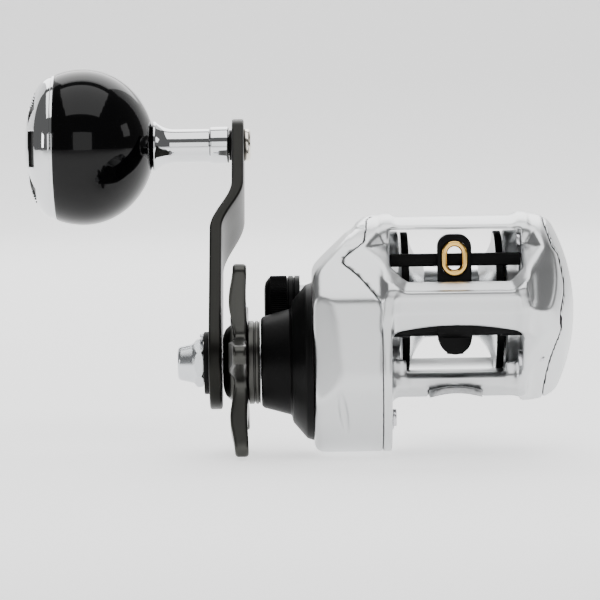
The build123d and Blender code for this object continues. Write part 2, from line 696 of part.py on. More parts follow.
def make_knob():
    """Ball grip with a slightly flatter inner half, cut off square at the neck and the seam."""
    inner = scale(Sphere(1), (knob_inner_r, knob_r, knob_r))
    ball = Pos(knob_mid_x, 0, 0) * Sphere(knob_r) & disc(knob_seam_x, knob_mid_x, 30)
    ball += Pos(knob_mid_x, 0, 0) * inner & disc(knob_mid_x, knob_in_x, 30)
    ball -= disc(knob_seam_x - 1, knob_in_x + 1, neck_plug_r + seat_gap)
    ball -= disc(knob_seam_x - 1, knob_seam_x + 2.0, cap_plug_r + 0.1)
    return ball


def make_knob_cap():
    """Domed end cap that plugs into the ball."""
    x0 = knob_seam_x - seat_gap
    rim = math.sqrt(knob_r ** 2 - (knob_seam_x - knob_mid_x) ** 2)
    dome = x0 - knob_out_x
    outer = scale(Sphere(1), (dome, rim - 0.1, rim - 0.1))
    bore = cap_plug_r - 1.5
    inner = scale(Sphere(1), (dome - shell, bore, bore))
    cap = Pos(x0, 0, 0) * (outer - inner) & disc(knob_out_x - 1, x0, rim + 1)
    return cap + disc(x0 - 0.5, x0 + 1.9, cap_plug_r, spool_axis, bore)


def make_knob_neck():
    """Chrome neck: flange, flared tube and collar, pressed into the ball."""
    x0, x1 = knob_in_x + seat_gap, arm_top_outer - 1.0
    neck = turned([(x0, 2.9), (x0, 7.5), (x0 + 0.9, 7.7), (x0 + 1.5, 6.9), (x0 + 3.6, 5.7),
                   (x0 + 7.0, neck_r), (x1 - 5.6, neck_r), (x1 - 5.2, 5.7), (x1 - 0.3, 5.7),
                   (x1, 5.4), (x1, 2.9)])
    neck += disc(x0 - 24.0, x0 + 0.2, neck_plug_r, spool_axis, knob_bearing_r + seat_gap)
    return neck + disc(x0 - 9.0, x0, knob_bearing_r + 0.3, spool_axis, 2.9)


def make_spindle():
    """Knob spindle, riveted into the arm, with a retaining head inside the knob."""
    x1 = arm_top_inner + seat_gap
    return turned([(knob_in_x - 22.0, 0), (knob_in_x - 22.0, 2.9), (knob_in_x - 20.8, 2.9),
                   (knob_in_x - 20.8, spindle_r), (x1, spindle_r), (x1, 4.9), (x1 + 1.4, 4.9),
                   (x1 + 2.0, 4.3), (x1 + 2.0, 0)])


# =============================== Cast control ===============================

def make_cast_knob():
    """Cast-control knob: a ribbed cap on the threaded tube over the spool shaft's end."""
    x0, x1 = cast_out_x, cast_in_x
    knob = turned([(x0, 0), (x0 + 0.3, 5.6), (x0 + 1.2, 7.6), (x0 + 1.8, 7.9), (x0 + 6.6, 7.9),
                   (x0 + 6.8, cast_r), (x0 + 8.5, cast_r), (x0 + 8.7, 8.0), (x0 + 9.0, 8.0),
                   (x0 + 9.1, cast_r), (x1, cast_r), (x1, 0)])
    knob += serrated(x0 + 1.9, x0 + 6.6, cast_r, cast_ribs, 0.35, spool_axis, 7.0)
    knob -= disc(x0 + 5.6, x1 + 1, cast_tube_r + thread_gap)
    return knob


# =============================== Level wind ===============================

def make_guard():
    """Tube round the worm, slotted below for the pawl."""
    tube = disc(gear_wall_in + seat_gap, palm_wall_in - seat_gap, guard_r, worm_axis, guard_bore)
    reach = spool_half - 1.6
    return tube - block(-reach, reach, worm_y - 1.7, worm_y + 1.7, worm_z - 6, worm_z)


def make_worm():
    """Worm shaft with ring-cut grooves standing for its crossed thread."""
    inner = gear_wall_in + 1.0
    outer = palm_wall_in - 1.0
    points = [(wind_x - 0.6, 0), (wind_x - 0.6, worm_end_r), (inner, worm_end_r), (inner, worm_r)]
    pitch = 2 * (spool_half - 2.0) / worm_turns
    for i in range(worm_turns):
        x = -spool_half + 2.0 + pitch * (i + 0.5)
        points += [(x - 0.7, worm_r), (x - 0.4, worm_r - 0.8), (x + 0.4, worm_r - 0.8),
                   (x + 0.7, worm_r)]
    points += [(outer, worm_r), (outer, worm_end_r), (palm_wall_out - 0.2, worm_end_r),
               (palm_wall_out - 0.2, 0)]
    return turned(points, worm_axis)


def make_carriage():
    """Line-guide carriage: a housing for the ring, a sleeve on the guard and a pawl boss."""
    w = carriage_half
    y0, y1 = carriage_y
    body = block(-w, w, y0, y1, worm_z, carriage_top)
    plane = Plane(origin=(0, y1, 0), x_dir=(1, 0, 0), z_dir=(0, -1, 0))
    upright = [e for e in body.edges().filter_by(Axis.Y) if e.center().Z > 0]
    body = fillet(upright, carriage_round)
    body -= extrude(plane * (Pos(0, ring_z) * SlotOverall(*oval(line_ring, seat_gap), 90)), 9)
    body += disc(-w, w, carriage_r, worm_axis)
    boss = Pos(0, 0, pawl_z) * Rot(90, 0, 0) * Cylinder(pawl_housing_r, 5.6)
    body += Pos(0, worm_y, 0) * (boss & block(-w, w, -9, 9, -20, 20))
    body -= disc(-w - 1, w + 1, guard_r + running_gap, worm_axis)
    body -= Pos(0, worm_y, -10) * Cylinder(pawl_r + seat_gap, 12)
    body -= Pos(0, worm_y, pawl_z - pawl_housing_r) * Cylinder(2.4 + seat_gap, 3.0)
    return body


def oval(size, gap=0.0):
    """Slot length and width of an upright oval of (width, height)."""
    return size[1] + 2 * gap, size[0] + 2 * gap


def make_line_ring():
    """Hard oval ring that the line runs through, with rounded lips."""
    plane = Plane(origin=(0, carriage_y[1] - 0.3, 0), x_dir=(1, 0, 0), z_dir=(0, -1, 0))
    outer = Pos(0, ring_z) * SlotOverall(*oval(line_ring), 90)
    inner = Pos(0, ring_z) * SlotOverall(*oval(line_hole), 90)
    ring = extrude(plane * (outer - inner), 5.4)
    front = ring.faces().sort_by(Axis.Y)[0]
    back = ring.faces().sort_by(Axis.Y)[-1]
    return fillet(front.edges() + back.edges(), 0.8)


def make_pawl():
    """Pawl under the worm; it stops just short of the thread."""
    top = worm_z - worm_r - body_gap
    low = pawl_z - pawl_housing_r + 1.6
    pin = Pos(0, worm_y, (top + low) / 2) * Cylinder(pawl_r, top - low)
    return pin - block(-3, -0.5, -40, 0, top - 1.2, 3) - block(0.5, 3, -40, 0, top - 1.2, 3)


def make_pawl_cap():
    """Slotted screw cap that holds the pawl in."""
    low = pawl_z - pawl_housing_r
    cap = Pos(0, worm_y, low + 0.8) * Cylinder(2.4, 1.4)
    return cap - Pos(0, worm_y, low) * Box(6, 0.6, 0.8)


# =============================== Clutch and brake ===============================

def make_thumb_bar():
    """Thumb bar across the back of the spool, with a tongue through the gear-side wall."""
    bar = block(gear_wall_in + body_gap, palm_wall_in - body_gap, *thumb_y, *thumb_z)
    top = bar.edges().filter_by(Axis.X).sort_by(Axis.Z)[-2:]
    bar = fillet(top, 1.4)
    for i in range(5):
        y = thumb_y[0] + 1.0 + 0.6 * i
        bar -= block(-12, 12.6, y, y + 0.2, thumb_z[1] - 0.25, thumb_z[1] + 2)
    return bar + block(gear_wall_out - 1.8, gear_wall_in + 1, *tongue_y, *tongue_z)


def make_clutch_plate():
    """Ramp plate on the tongue's end; it drives the yoke outwards."""
    x1 = gear_wall_out - body_gap
    z0, z1 = tongue_z
    plate = block(x1 - 1.2, x1, 4.0, tongue_y[1], z0 - 1.0, z1 + 1.0)
    return plate - block(x1 - 2, x1 + 1, tongue_y[0] - seat_gap, 30, z0 - seat_gap, z1 + seat_gap)


def make_brake_plate():
    """Cup that carries the palm-side bearing and the brake's drum."""
    x0, bore, brim = palm_wall_out + seat_gap, palm_bearing_r + seat_gap, drum_r + 2.7
    return turned([(x0, bore), (x0 + 2.4, bore), (x0 + 2.4, brim), (x0, brim), (x0, drum_r),
                   (spool_half + 0.9, drum_r), (spool_half + 0.9, drum_r - 1.4),
                   (x0 - 1.0, drum_r - 1.4), (x0 - 1.0, bore)])


def make_brake_hub():
    """Hub on the spool shaft with six stems for the brake blocks."""
    hub = disc(brake_x - 1.3, brake_x + 1.3, 5.0, spool_axis, spool_shaft_r + seat_gap)
    stem = Pos(brake_x, 0, 6.6) * Cylinder(stem_r, 5.0)
    for i in range(6):
        hub += Rot(60 * i, 0, 0) * stem
    return hub


def make_brake_blocks():
    """Six blocks that slide out on the hub's stems."""
    block_one = Pos(brake_x, 0, 8.2) * (Cylinder(1.4, 2.6) - Cylinder(stem_r + running_gap, 2.6))
    return Compound([Rot(60 * i, 0, 0) * block_one for i in range(6)])


# =============================== Assembly ===============================

def at_knob(shape):
    """Move a knob piece from the X axis to the handle's end."""
    y, z = polar(drive_axis, handle_length, 90 - handle_lean)
    return Pos(0, y, z) * shape


def make_parts():
    """Every node by name, in the drawing frame."""
    parts = {
        "frame": make_frame(),
        "reel_foot": make_foot(),
        "foot_screws": make_foot_screws(),
        "gear_side_cover": make_gear_cover(),
        "gear_case_cap": make_cap(),
        "palm_side_cover": make_palm_cover(),
        "gear_cover_screws": make_wall_screws(gear_screws, gear_wall_in, -1),
        "palm_cover_screws": make_wall_screws(palm_screws, palm_wall_in, 1),
        "roller_clutch": make_roller_clutch(),
        "drive_outer_bearing": bearing(gear_case_x - 4.3, gear_case_x - 0.3,
                                       sleeve_r + running_gap, drive_bearing_r, drive_axis),
        "drive_inner_bush": disc(gear_wall_out, gear_wall_in - 0.2, shaft_end_r + 2.0, drive_axis,
                                 shaft_end_r + running_gap),
        "spool_outer_bearing": bearing(gear_case_x - 3.2, gear_case_x - 1.0,
                                       spool_shaft_r + running_gap, outer_bearing_r, spool_axis),
        "pinion_bearing": bearing(gear_case_x + 2.6, gear_case_x + 4.6,
                                  pinion_neck_r + running_gap, outer_bearing_r, spool_axis),
        "palm_bearing": bearing(palm_wall_out - 0.6, palm_wall_out + 2.0,
                                spool_shaft_r + running_gap, palm_bearing_r, spool_axis),
        "brake_plate": make_brake_plate(),
        "worm_gear_bush": disc(gear_wall_out, gear_wall_in, worm_bush_r, worm_axis,
                               worm_end_r + running_gap),
        "worm_palm_bush": disc(palm_wall_in, palm_wall_out, worm_bush_r, worm_axis,
                               worm_end_r + running_gap),
        "level_wind_guard": make_guard(),
        "line_guide_rail": block(gear_wall_in + seat_gap, palm_wall_in - seat_gap, *rail_y,
                                 *rail_z),
        "yoke_posts": make_yoke_posts(),
        "spool": make_spool(),
        "spool_shaft": make_spool_shaft(),
        "clutch_pin": Pos(pin_x, 0, 0) * Cylinder(clutch_pin_r, 4.6),
        "brake_hub": make_brake_hub(),
        "brake_blocks": make_brake_blocks(),
        "pinion": make_pinion(),
        "yoke": make_yoke(),
        "thumb_bar": make_thumb_bar(),
        "clutch_plate": make_clutch_plate(),
        "drive_shaft": make_drive_shaft(),
        "handle_arm": make_arm(),
        "handle_nut": make_nut(),
        "nut_retainer": make_retainer(),
        "retainer_screw": make_retainer_screw(),
        "spring_washers": make_spring_washers(),
        "clutch_sleeve": make_sleeve(),
        "drag_plate": disc(x_disc - disc_t - 0.1, x_disc - 0.1, drag_r + 0.5, drive_axis,
                           shaft_r + seat_gap),
        "outer_drag_washer": disc(x_disc - 0.05, gear_x - 0.05, drag_r, drive_axis,
                                  shaft_r + 0.3),
        "inner_drag_washer": disc(gear_in_x + 0.05, gear_in_x + disc_t + 0.05, drag_r,
                                  drive_axis, shaft_r + 0.3),
        "drive_gear": make_drive_gear(),
        "ratchet": make_ratchet(),
        "level_wind_drive_gear": spur_gear(wind_x, wind_x + wind_face, wind_module, wind_teeth,
                                           drive_axis, wind_angle, shaft_r + seat_gap),
        "star_drag": make_star(),
        "drag_nut": make_drag_nut(),
        "knob": at_knob(make_knob()),
        "knob_end_cap": at_knob(make_knob_cap()),
        "knob_neck": at_knob(make_knob_neck()),
        "knob_outer_bearing": at_knob(bearing(knob_in_x - 19.0, knob_in_x - 16.5,
                                              spindle_r + running_gap, knob_bearing_r, spool_axis)),
        "knob_inner_bearing": at_knob(bearing(knob_in_x - 12.0, knob_in_x - 9.5,
                                              spindle_r + running_gap, knob_bearing_r, spool_axis)),
        "knob_washer": at_knob(disc(arm_top_outer - 0.9, arm_top_outer - seat_gap, 4.65,
                                    spool_axis, spindle_r + running_gap)),
        "knob_spindle": at_knob(make_spindle()),
        "worm": make_worm(),
        "worm_gear": spur_gear(wind_x, wind_x + wind_face, wind_module, worm_teeth, worm_axis,
                               wind_angle + 180 + 180 / worm_teeth, worm_end_r + seat_gap),
        "line_guide_carriage": make_carriage(),
        "line_ring": make_line_ring(),
        "pawl": make_pawl(),
        "pawl_cap": make_pawl_cap(),
        "cast_control_knob": make_cast_knob(),
    }
    return parts


os.makedirs("parts", exist_ok=True)
for name, shape in make_parts().items():
    export_step(Pos(0, 0, foot_drop) * shape, f"parts/{name}.step")
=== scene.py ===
import json
import math

import bmesh
import bpy
import numpy as np
from bpy.props import FloatProperty, FloatVectorProperty, IntProperty, PointerProperty
from mathutils import Matrix, Vector


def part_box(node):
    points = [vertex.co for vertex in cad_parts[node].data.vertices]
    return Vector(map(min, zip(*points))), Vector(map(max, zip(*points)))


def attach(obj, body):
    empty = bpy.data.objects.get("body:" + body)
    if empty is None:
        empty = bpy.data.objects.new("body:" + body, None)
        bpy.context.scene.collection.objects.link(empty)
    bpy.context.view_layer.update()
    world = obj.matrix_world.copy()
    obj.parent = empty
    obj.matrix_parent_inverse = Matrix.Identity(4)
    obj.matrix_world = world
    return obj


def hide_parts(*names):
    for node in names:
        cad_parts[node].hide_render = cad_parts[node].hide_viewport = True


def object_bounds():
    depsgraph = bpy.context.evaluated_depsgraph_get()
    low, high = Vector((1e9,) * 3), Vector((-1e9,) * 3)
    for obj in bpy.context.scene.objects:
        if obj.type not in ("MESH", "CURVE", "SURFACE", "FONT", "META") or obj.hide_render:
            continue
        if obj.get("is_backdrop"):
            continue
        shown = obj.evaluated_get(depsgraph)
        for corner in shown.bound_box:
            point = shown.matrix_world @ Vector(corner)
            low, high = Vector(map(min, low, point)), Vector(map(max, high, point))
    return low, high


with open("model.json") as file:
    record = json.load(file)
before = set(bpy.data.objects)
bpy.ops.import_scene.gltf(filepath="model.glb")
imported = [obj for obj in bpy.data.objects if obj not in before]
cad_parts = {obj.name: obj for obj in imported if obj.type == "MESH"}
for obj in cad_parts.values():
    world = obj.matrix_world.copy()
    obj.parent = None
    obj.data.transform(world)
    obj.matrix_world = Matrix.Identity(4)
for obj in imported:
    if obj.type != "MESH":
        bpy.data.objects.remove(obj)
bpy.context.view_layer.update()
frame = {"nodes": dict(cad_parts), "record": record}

bl_info = {
    "name": "Low-profile reel",
    "version": (1, 0, 0),
    "blender": (4, 5, 0),
    "location": "View3D > Sidebar > Reel",
    "description": "Builds the looks of a low-profile fishing reel around its fixed frame",
    "category": "Object",
}

MM = 0.001


# ------------------------------------------------------------------ places read from the frame

def span(node):
    """A node's box in millimetres: lowest and highest corners as arrays."""
    low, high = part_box(node)
    return np.array(low) / MM, np.array(high) / MM


def axis_of(node):
    """The (y, z) centre of a node's box, in millimetres."""
    low, high = span(node)
    return (low[1:] + high[1:]) / 2


SPOOL_AXIS = axis_of("spool")
DRIVE_AXIS = axis_of("drive_gear")
WORM_AXIS = axis_of("worm")
KNOB_AXIS = axis_of("knob")
FRAME_LOW = span("frame")[0]


# ------------------------------------------------------------------ sizes and colours

def length(name, description, default):
    """A length property, with its default given in millimetres."""
    return FloatProperty(name=name, description=description, default=default * MM, min=0.0,
                         precision=5, unit="LENGTH")


def in_mm(value):
    """A length property's value in millimetres."""
    return round(value / MM, 4)


def colour(name, description, default):
    """A colour property."""
    return FloatVectorProperty(name=name, description=description, default=default, size=3,
                               subtype="COLOR", min=0.0, max=1.0)


class ReelSizes(bpy.types.PropertyGroup):
    """Sizes that a user would change."""
    edge: length("Edge rounding", "Rounding on the edges of small machined pieces", 0.2)
    skin: length("Shell thickness", "Thickness of the hollow shells", 1.6)
    tracing: length("Tracing step", "Spacing of the grid that a shell is traced on", 0.5)
    knurls: IntProperty(name="Knurls", description="Ribs round the cast-control knob", default=90,
                        min=12)
    segments: IntProperty(name="Segments", description="Steps round a turned piece", default=160,
                          min=24)


class ReelColours(bpy.types.PropertyGroup):
    """Colours of the reel's finishes."""
    silver: colour("Silver", "Satin silver of the shells", (0.64, 0.65, 0.655))
    case_black: colour("Case black", "Matte black of the gear-case cap", (0.0015, 0.0015, 0.0016))
    arm_grey: colour("Arm grey", "Dark anodised handle arm", (0.016, 0.016, 0.0145))
    star_grey: colour("Star grey", "Gunmetal star and collar", (0.055, 0.055, 0.051))
    chrome: colour("Chrome", "Polished chrome", (0.66, 0.67, 0.68))
    nickel: colour("Nickel", "Bright nickel of the rivet", (0.66, 0.62, 0.55))
    gold: colour("Gold", "Hard gold of the line ring", (0.80, 0.50, 0.14))
    gloss_black: colour("Gloss black", "The ball knob", (0.001, 0.001, 0.0012))
    steel: colour("Steel", "Machined steel", (0.62, 0.62, 0.64))
    brass: colour("Brass", "Brass gears", (0.76, 0.56, 0.26))
    plastic: colour("Plastic", "Black moulded plastic", (0.002, 0.002, 0.0022))
    bone: colour("Bone", "Pale moulded brake blocks", (0.72, 0.69, 0.60))


# ------------------------------------------------------------------ materials

class Finish:
    """A material under construction, with short helpers for its nodes."""

    def __init__(self, name, base, metallic, roughness):
        self.material = bpy.data.materials.new(name)
        self.material.use_nodes = True
        self.nodes = self.material.node_tree.nodes
        self.links = self.material.node_tree.links
        self.shader = self.nodes["Principled BSDF"]
        self.shader.inputs["Base Color"].default_value = (*base, 1.0)
        self.shader.inputs["Metallic"].default_value = metallic
        self.shader.inputs["Roughness"].default_value = roughness
        self.coords = self.nodes.new("ShaderNodeTexCoord").outputs["Object"]
        self.base = base
        self.roughness = roughness
        self.height = None

    def stretched(self, scale):
        """Object coordinates scaled by (x, y, z)."""
        mapping = self.nodes.new("ShaderNodeMapping")
        mapping.inputs["Scale"].default_value = scale
        self.links.new(self.coords, mapping.inputs["Vector"])
        return mapping.outputs["Vector"]

    def noise(self, size, detail=2.0, scale=(1, 1, 1)):
        """Noise whose lumps are about size metres across."""
        node = self.nodes.new("ShaderNodeTexNoise")
        node.inputs["Scale"].default_value = 1.0 / size
        node.inputs["Detail"].default_value = detail
        self.links.new(self.stretched(scale), node.inputs["Vector"])
        return node.outputs["Fac"]

    def spread(self, source, low, high):
        """A 0 to 1 source carried to the range low to high."""
        node = self.nodes.new("ShaderNodeMapRange")
        node.inputs["To Min"].default_value = low
        node.inputs["To Max"].default_value = high
        self.links.new(source, node.inputs["Value"])
        return node.outputs["Result"]

    def tint(self, source, amount):
        """Lets source vary the base colour, darker and lighter by amount."""
        mix = self.nodes.new("ShaderNodeMix")
        mix.data_type = "RGBA"
        mix.inputs["A"].default_value = (*[c * (1 - amount) for c in self.base], 1)
        mix.inputs["B"].default_value = (*[min(1, c * (1 + amount)) for c in self.base], 1)
        self.links.new(source, mix.inputs["Factor"])
        self.links.new(mix.outputs["Result"], self.shader.inputs["Base Color"])

    def vary_roughness(self, source, amount):
        """Lets source vary the roughness by amount each way."""
        value = self.spread(source, self.roughness - amount, self.roughness + amount)
        self.links.new(value, self.shader.inputs["Roughness"])

    def bump(self, source, distance):
        """Adds source as bump of that height in metres."""
        node = self.nodes.new("ShaderNodeBump")
        node.inputs["Distance"].default_value = distance
        self.links.new(source, node.inputs["Height"])
        if self.height:
            self.links.new(self.height, node.inputs["Normal"])
        self.height = node.outputs["Normal"]
        self.links.new(self.height, self.shader.inputs["Normal"])


def satin_metal(name, base, roughness, grain):
    """Anodised or painted metal: fine bead-blast grain and slow variation of sheen."""
    f = Finish(name, base, 1.0, roughness)
    f.tint(f.noise(0.012, 3.0), 0.03)
    f.vary_roughness(f.noise(0.006, 4.0), 0.04)
    f.bump(f.noise(0.00022, 2.0), grain)
    return f.material


def matte_coat(name, base, roughness, grain):
    """Matte lacquer or moulded plastic: a pebbled skin, with smears of sheen."""
    f = Finish(name, base, 0.0, roughness)
    f.shader.inputs["Specular IOR Level"].default_value = 0.08
    f.tint(f.noise(0.008, 3.0), 0.18)
    f.vary_roughness(f.noise(0.004, 4.0), 0.07)
    f.bump(f.noise(0.00035, 3.0), grain)
    return f.material


def polished(name, base, roughness):
    """Polished plating: faint orange peel and hairline haze."""
    f = Finish(name, base, 1.0, roughness)
    f.tint(f.noise(0.01, 2.0), 0.02)
    f.vary_roughness(f.noise(0.003, 5.0), roughness * 0.5)
    f.bump(f.noise(0.004, 1.0), 0.000006)
    return f.material


def gloss_paint(name, base):
    """Deep gloss: a clear coat over black, with faint orange peel."""
    f = Finish(name, base, 0.0, 0.12)
    f.shader.inputs["Specular IOR Level"].default_value = 0.05
    f.shader.inputs["Coat Weight"].default_value = 0.3
    f.shader.inputs["Coat Roughness"].default_value = 0.02
    f.tint(f.noise(0.01, 2.0), 0.2)
    f.vary_roughness(f.noise(0.003, 3.0), 0.03)
    f.bump(f.noise(0.006, 1.0), 0.000008)
    return f.material


def turned_metal(name, base, roughness):
    """Machined metal: fine lathe lines square to the X axis."""
    f = Finish(name, base, 1.0, roughness)
    f.tint(f.noise(0.004, 3.0), 0.05)
    f.vary_roughness(f.noise(0.002, 3.0, (6, 1, 1)), 0.06)
    f.bump(f.noise(0.00012, 1.0, (1, 0.02, 0.02)), 0.000006)
    return f.material


def woven(name, base):
    """Woven carbon: two crossed weaves of glossy strands."""
    f = Finish(name, base, 0.0, 0.35)
    wave = f.nodes.new("ShaderNodeTexWave")
    wave.inputs["Scale"].default_value = 900
    f.links.new(f.coords, wave.inputs["Vector"])
    f.tint(wave.outputs["Fac"], 0.6)
    f.vary_roughness(f.noise(0.002), 0.1)
    f.bump(wave.outputs["Fac"], 0.00004)
    return f.material


def speckled(name, base):
    """Satin metal with dark speckles, as on the foot's upper side."""
    f = Finish(name, base, 1.0, 0.34)
    f.tint(f.noise(0.0007, 5.0), 0.25)
    f.vary_roughness(f.noise(0.001, 4.0), 0.1)
    f.bump(f.noise(0.0004, 4.0), 0.00003)
    return f.material


def finishes(c):
    """Every finish by its slot in the record."""
    return {
        "silver": satin_metal("satin_silver", c.silver, 0.30, 0.000010),
        "foot_metal": speckled("foot_metal", (0.36, 0.365, 0.37)),
        "black_case": matte_coat("matte_black_case", c.case_black, 0.42, 0.000012),
        "black_trim": matte_coat("moulded_black", c.plastic, 0.48, 0.000018),
        "arm_metal": satin_metal("arm_anodised", c.arm_grey, 0.36, 0.000010),
        "star_metal": satin_metal("star_gunmetal", c.star_grey, 0.30, 0.000010),
        "chrome": polished("polished_chrome", c.chrome, 0.05),
        "nickel": polished("rivet_nickel", c.nickel, 0.14),
        "nut_metal": satin_metal("nut_satin", (0.62, 0.64, 0.66), 0.26, 0.000008),
        "gloss_black": gloss_paint("knob_gloss_black", c.gloss_black),
        "gold": polished("ring_gold", c.gold, 0.16),
        "steel": turned_metal("machined_steel", c.steel, 0.28),
        "brass_gear": turned_metal("machined_brass", c.brass, 0.3),
        "drag_fibre": woven("drag_weave", (0.03, 0.03, 0.032)),
        "spool_metal": turned_metal("spool_silver", (0.66, 0.67, 0.68), 0.24),
        "brake_block": matte_coat("brake_bone", c.bone, 0.5, 0.00001),
    }


_made = {}


def finish(slot):
    """The finish of a slot, made once."""
    if not _made:
        _made.update(finishes(bpy.context.scene.reel_colours))
    return _made[slot]


# ------------------------------------------------------------------ surfaces

def surface(name, grid, close_u=False, close_v=False):
    """Mesh from a (rows, columns, 3) grid of points in millimetres.  Neighbouring points make
    quads; a closed direction joins its last line to its first.  Doubled points are merged and
    faces are turned outwards."""
    rows, cols = grid.shape[:2]
    u = np.arange(rows if close_u else rows - 1)
    v = np.arange(cols if close_v else cols - 1)
    a, b = np.meshgrid(u, v, indexing="ij")
    a2, b2 = (a + 1) % rows, (b + 1) % cols
    quads = np.stack([a * cols + b, a2 * cols + b, a2 * cols + b2, a * cols + b2], -1)
    mesh = bpy.data.meshes.new(name)
    mesh.from_pydata((grid.reshape(-1, 3) * MM).tolist(), [], quads.reshape(-1, 4).tolist())
    return closed_piece(name, mesh)


def closed_piece(name, mesh, sharp=35.0):
    """An object from a mesh, with doubles merged, normals outwards and smooth shading."""
    work = bmesh.new()
    work.from_mesh(mesh)
    bmesh.ops.remove_doubles(work, verts=work.verts, dist=1e-6)
    bmesh.ops.dissolve_degenerate(work, edges=work.edges, dist=1e-7)
    bmesh.ops.recalc_face_normals(work, faces=work.faces)
    work.to_mesh(mesh)
    work.free()
    piece = linked(name, mesh)
    mesh.set_sharp_from_angle(angle=math.radians(sharp))
    return piece


def linked(name, mesh):
    """A smooth-shaded object of the mesh, in the scene."""
    mesh.polygons.foreach_set("use_smooth", np.ones(len(mesh.polygons), dtype=bool))
    piece = bpy.data.objects.new(name, mesh)
    bpy.context.scene.collection.objects.link(piece)
    return piece


def rounded(points, radius, close=False):
    """The outline with each corner replaced by a quadratic curve that starts radius before it
    and ends radius after it, or less on a short side."""
    p = np.array(points, dtype=float)
    before, after = np.roll(p, 1, axis=0) - p, np.roll(p, -1, axis=0) - p
    near, far = np.linalg.norm(before, axis=1), np.linalg.norm(after, axis=1)
    cut = np.minimum(radius, 0.45 * np.minimum(near, far))[:, None]
    start, end = p + before / near[:, None] * cut, p + after / far[:, None] * cut
    t = np.linspace(0, 1, 5)[None, :, None]
    arc = (1 - t) ** 2 * start[:, None] + 2 * t * (1 - t) * p[:, None] + t ** 2 * end[:, None]
    if close:
        return arc.reshape(-1, 2)
    return np.vstack([p[:1], arc[1:-1].reshape(-1, 2), p[-1:]])


def turned(name, profile, centre, radius=0.25, ring=False, segments=None, limit=None,
           dense=None, reshape=None):
    """A turned piece: a (x, r) profile with softened corners, carried round an axis that runs
    along X through centre; a ring's profile is closed, any other starts and ends on the axis.
    limit gives the greatest radius at each x and angle, dense splits long runs, and reshape
    moves the finished grid."""
    segments = segments or bpy.context.scene.reel_sizes.segments
    line = rounded(profile, radius, close=ring)
    if dense:
        line = divided(line, dense, ring)
    angle = np.linspace(0, 2 * math.pi, segments, endpoint=False)
    x, r = line[:, :1] + 0 * angle, line[:, 1:] + 0 * angle
    if limit:
        r = np.minimum(r, limit(x, angle))
    grid = np.stack([x, centre[0] + r * np.cos(angle), centre[1] + r * np.sin(angle)], -1)
    if reshape:
        grid = reshape(grid, outer_side(line)[:, None])
    return surface(name, grid, close_u=ring, close_v=True)


def divided(line, longest, ring):
    """The line with runs over longest split evenly."""
    ends_at = np.roll(line, -1, axis=0) if ring else line[1:]
    parts = []
    for a, b in zip(line, ends_at):
        count = max(1, int(math.ceil(np.linalg.norm(b - a) / longest)))
        parts.append(a + (b - a) * np.linspace(0, 1, count, endpoint=False)[:, None])
    return np.vstack(parts + ([] if ring else [line[-1:]]))


def outer_side(line):
    """Which points of a ring's profile lie on its outside: those before its highest X ends."""
    last = int(np.argmax(line[:, 0] + 1e-3 * line[:, 1]))
    return np.arange(len(line)) <= last


def softened(node, share=1.0):
    """A merged copy of a CAD node whose sharp edges are bevelled by a share of the set edge."""
    mesh = frame["nodes"][node].data.copy()
    work = bmesh.new()
    work.from_mesh(mesh)
    bmesh.ops.remove_doubles(work, verts=work.verts, dist=2e-6)
    bmesh.ops.dissolve_limit(work, angle_limit=math.radians(1.5), verts=work.verts,
                             edges=work.edges)
    work.to_mesh(mesh)
    work.free()
    piece = linked(node + "_softened", mesh)
    bevel = piece.modifiers.new("edges", "BEVEL")
    bevel.width = share * in_mm(bpy.context.scene.reel_sizes.edge) * MM
    bevel.segments = 2
    bevel.limit_method = "ANGLE"
    bevel.angle_limit = math.radians(28.0)
    bevel.use_clamp_overlap = True
    bevel.harden_normals = True
    return piece


BODY_OF = {node: body for body, nodes in frame["record"]["behaviour"]["bodies"].items()
           for node in nodes}
SLOT_OF = {part["node"]: part["material_slot"] for part in frame["record"]["subparts"]}


def place(piece, node):
    """Gives a finished piece its material and its body, and hides the CAD node that it stands for.
    """
    slot = SLOT_OF[node]
    piece.data.materials.clear()
    piece.data.materials.append(finish(slot))
    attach(piece, BODY_OF[node])
    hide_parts(node)
    return piece


def face_centres(piece):
    """The centres of a piece's faces, in millimetres."""
    centres = np.empty(len(piece.data.polygons) * 3)
    piece.data.polygons.foreach_get("center", centres)
    return centres.reshape(-1, 3) / MM


def second_finish(piece, slot, faces):
    """Gives the chosen faces of a placed piece another slot's finish."""
    piece.data.materials.append(finish(slot))
    piece.data.polygons.foreach_set("material_index", faces.astype(np.int32))


# ------------------------------------------------------------------ shells as level surfaces

WALL = 2.4
SEAM_GAP = 0.07     # what each side of a seam stands back from it
# The walls' X ranges, then the sides' arcs as (y, z, radius) from the spool axis.
GEAR_WALL = (FRAME_LOW[0], FRAME_LOW[0] + WALL)
PALM_WALL = (span("line_guide_rail")[1][0], span("line_guide_rail")[1][0] + WALL)
CROWN, REAR, NOSE = (-8.0, 1.0, 24.9), (9.0, -2.0, 18.0), (-33.0, 1.0, 5.0)
GEAR_LOBE, PALM_LOBE = (-14.5, -17.5, 24.5), (-14.0, -13.0, 15.0)


def smooth_min(a, b, k):
    """The lower of two fields, blended over k."""
    h = np.clip(0.5 + 0.5 * (b - a) / k, 0.0, 1.0)
    return b * (1 - h) + a * h - k * h * (1 - h)


def smooth_max(a, b, k):
    """The higher of two fields, blended over k."""
    return -smooth_min(-a, -b, k)


def hull_field(y, z, circles):
    """Distance outside the hull of circles: the greatest of y cos a + z sin a less the hull's
    reach in the direction a."""
    field = np.full(np.broadcast(y, z).shape, -1e9)
    for a in np.linspace(0, 2 * math.pi, 144, endpoint=False):
        c, s = math.cos(a), math.sin(a)
        reach = max(cy * c + cz * s + r for cy, cz, r in circles)
        field = np.maximum(field, y * c + z * s - reach)
    return field


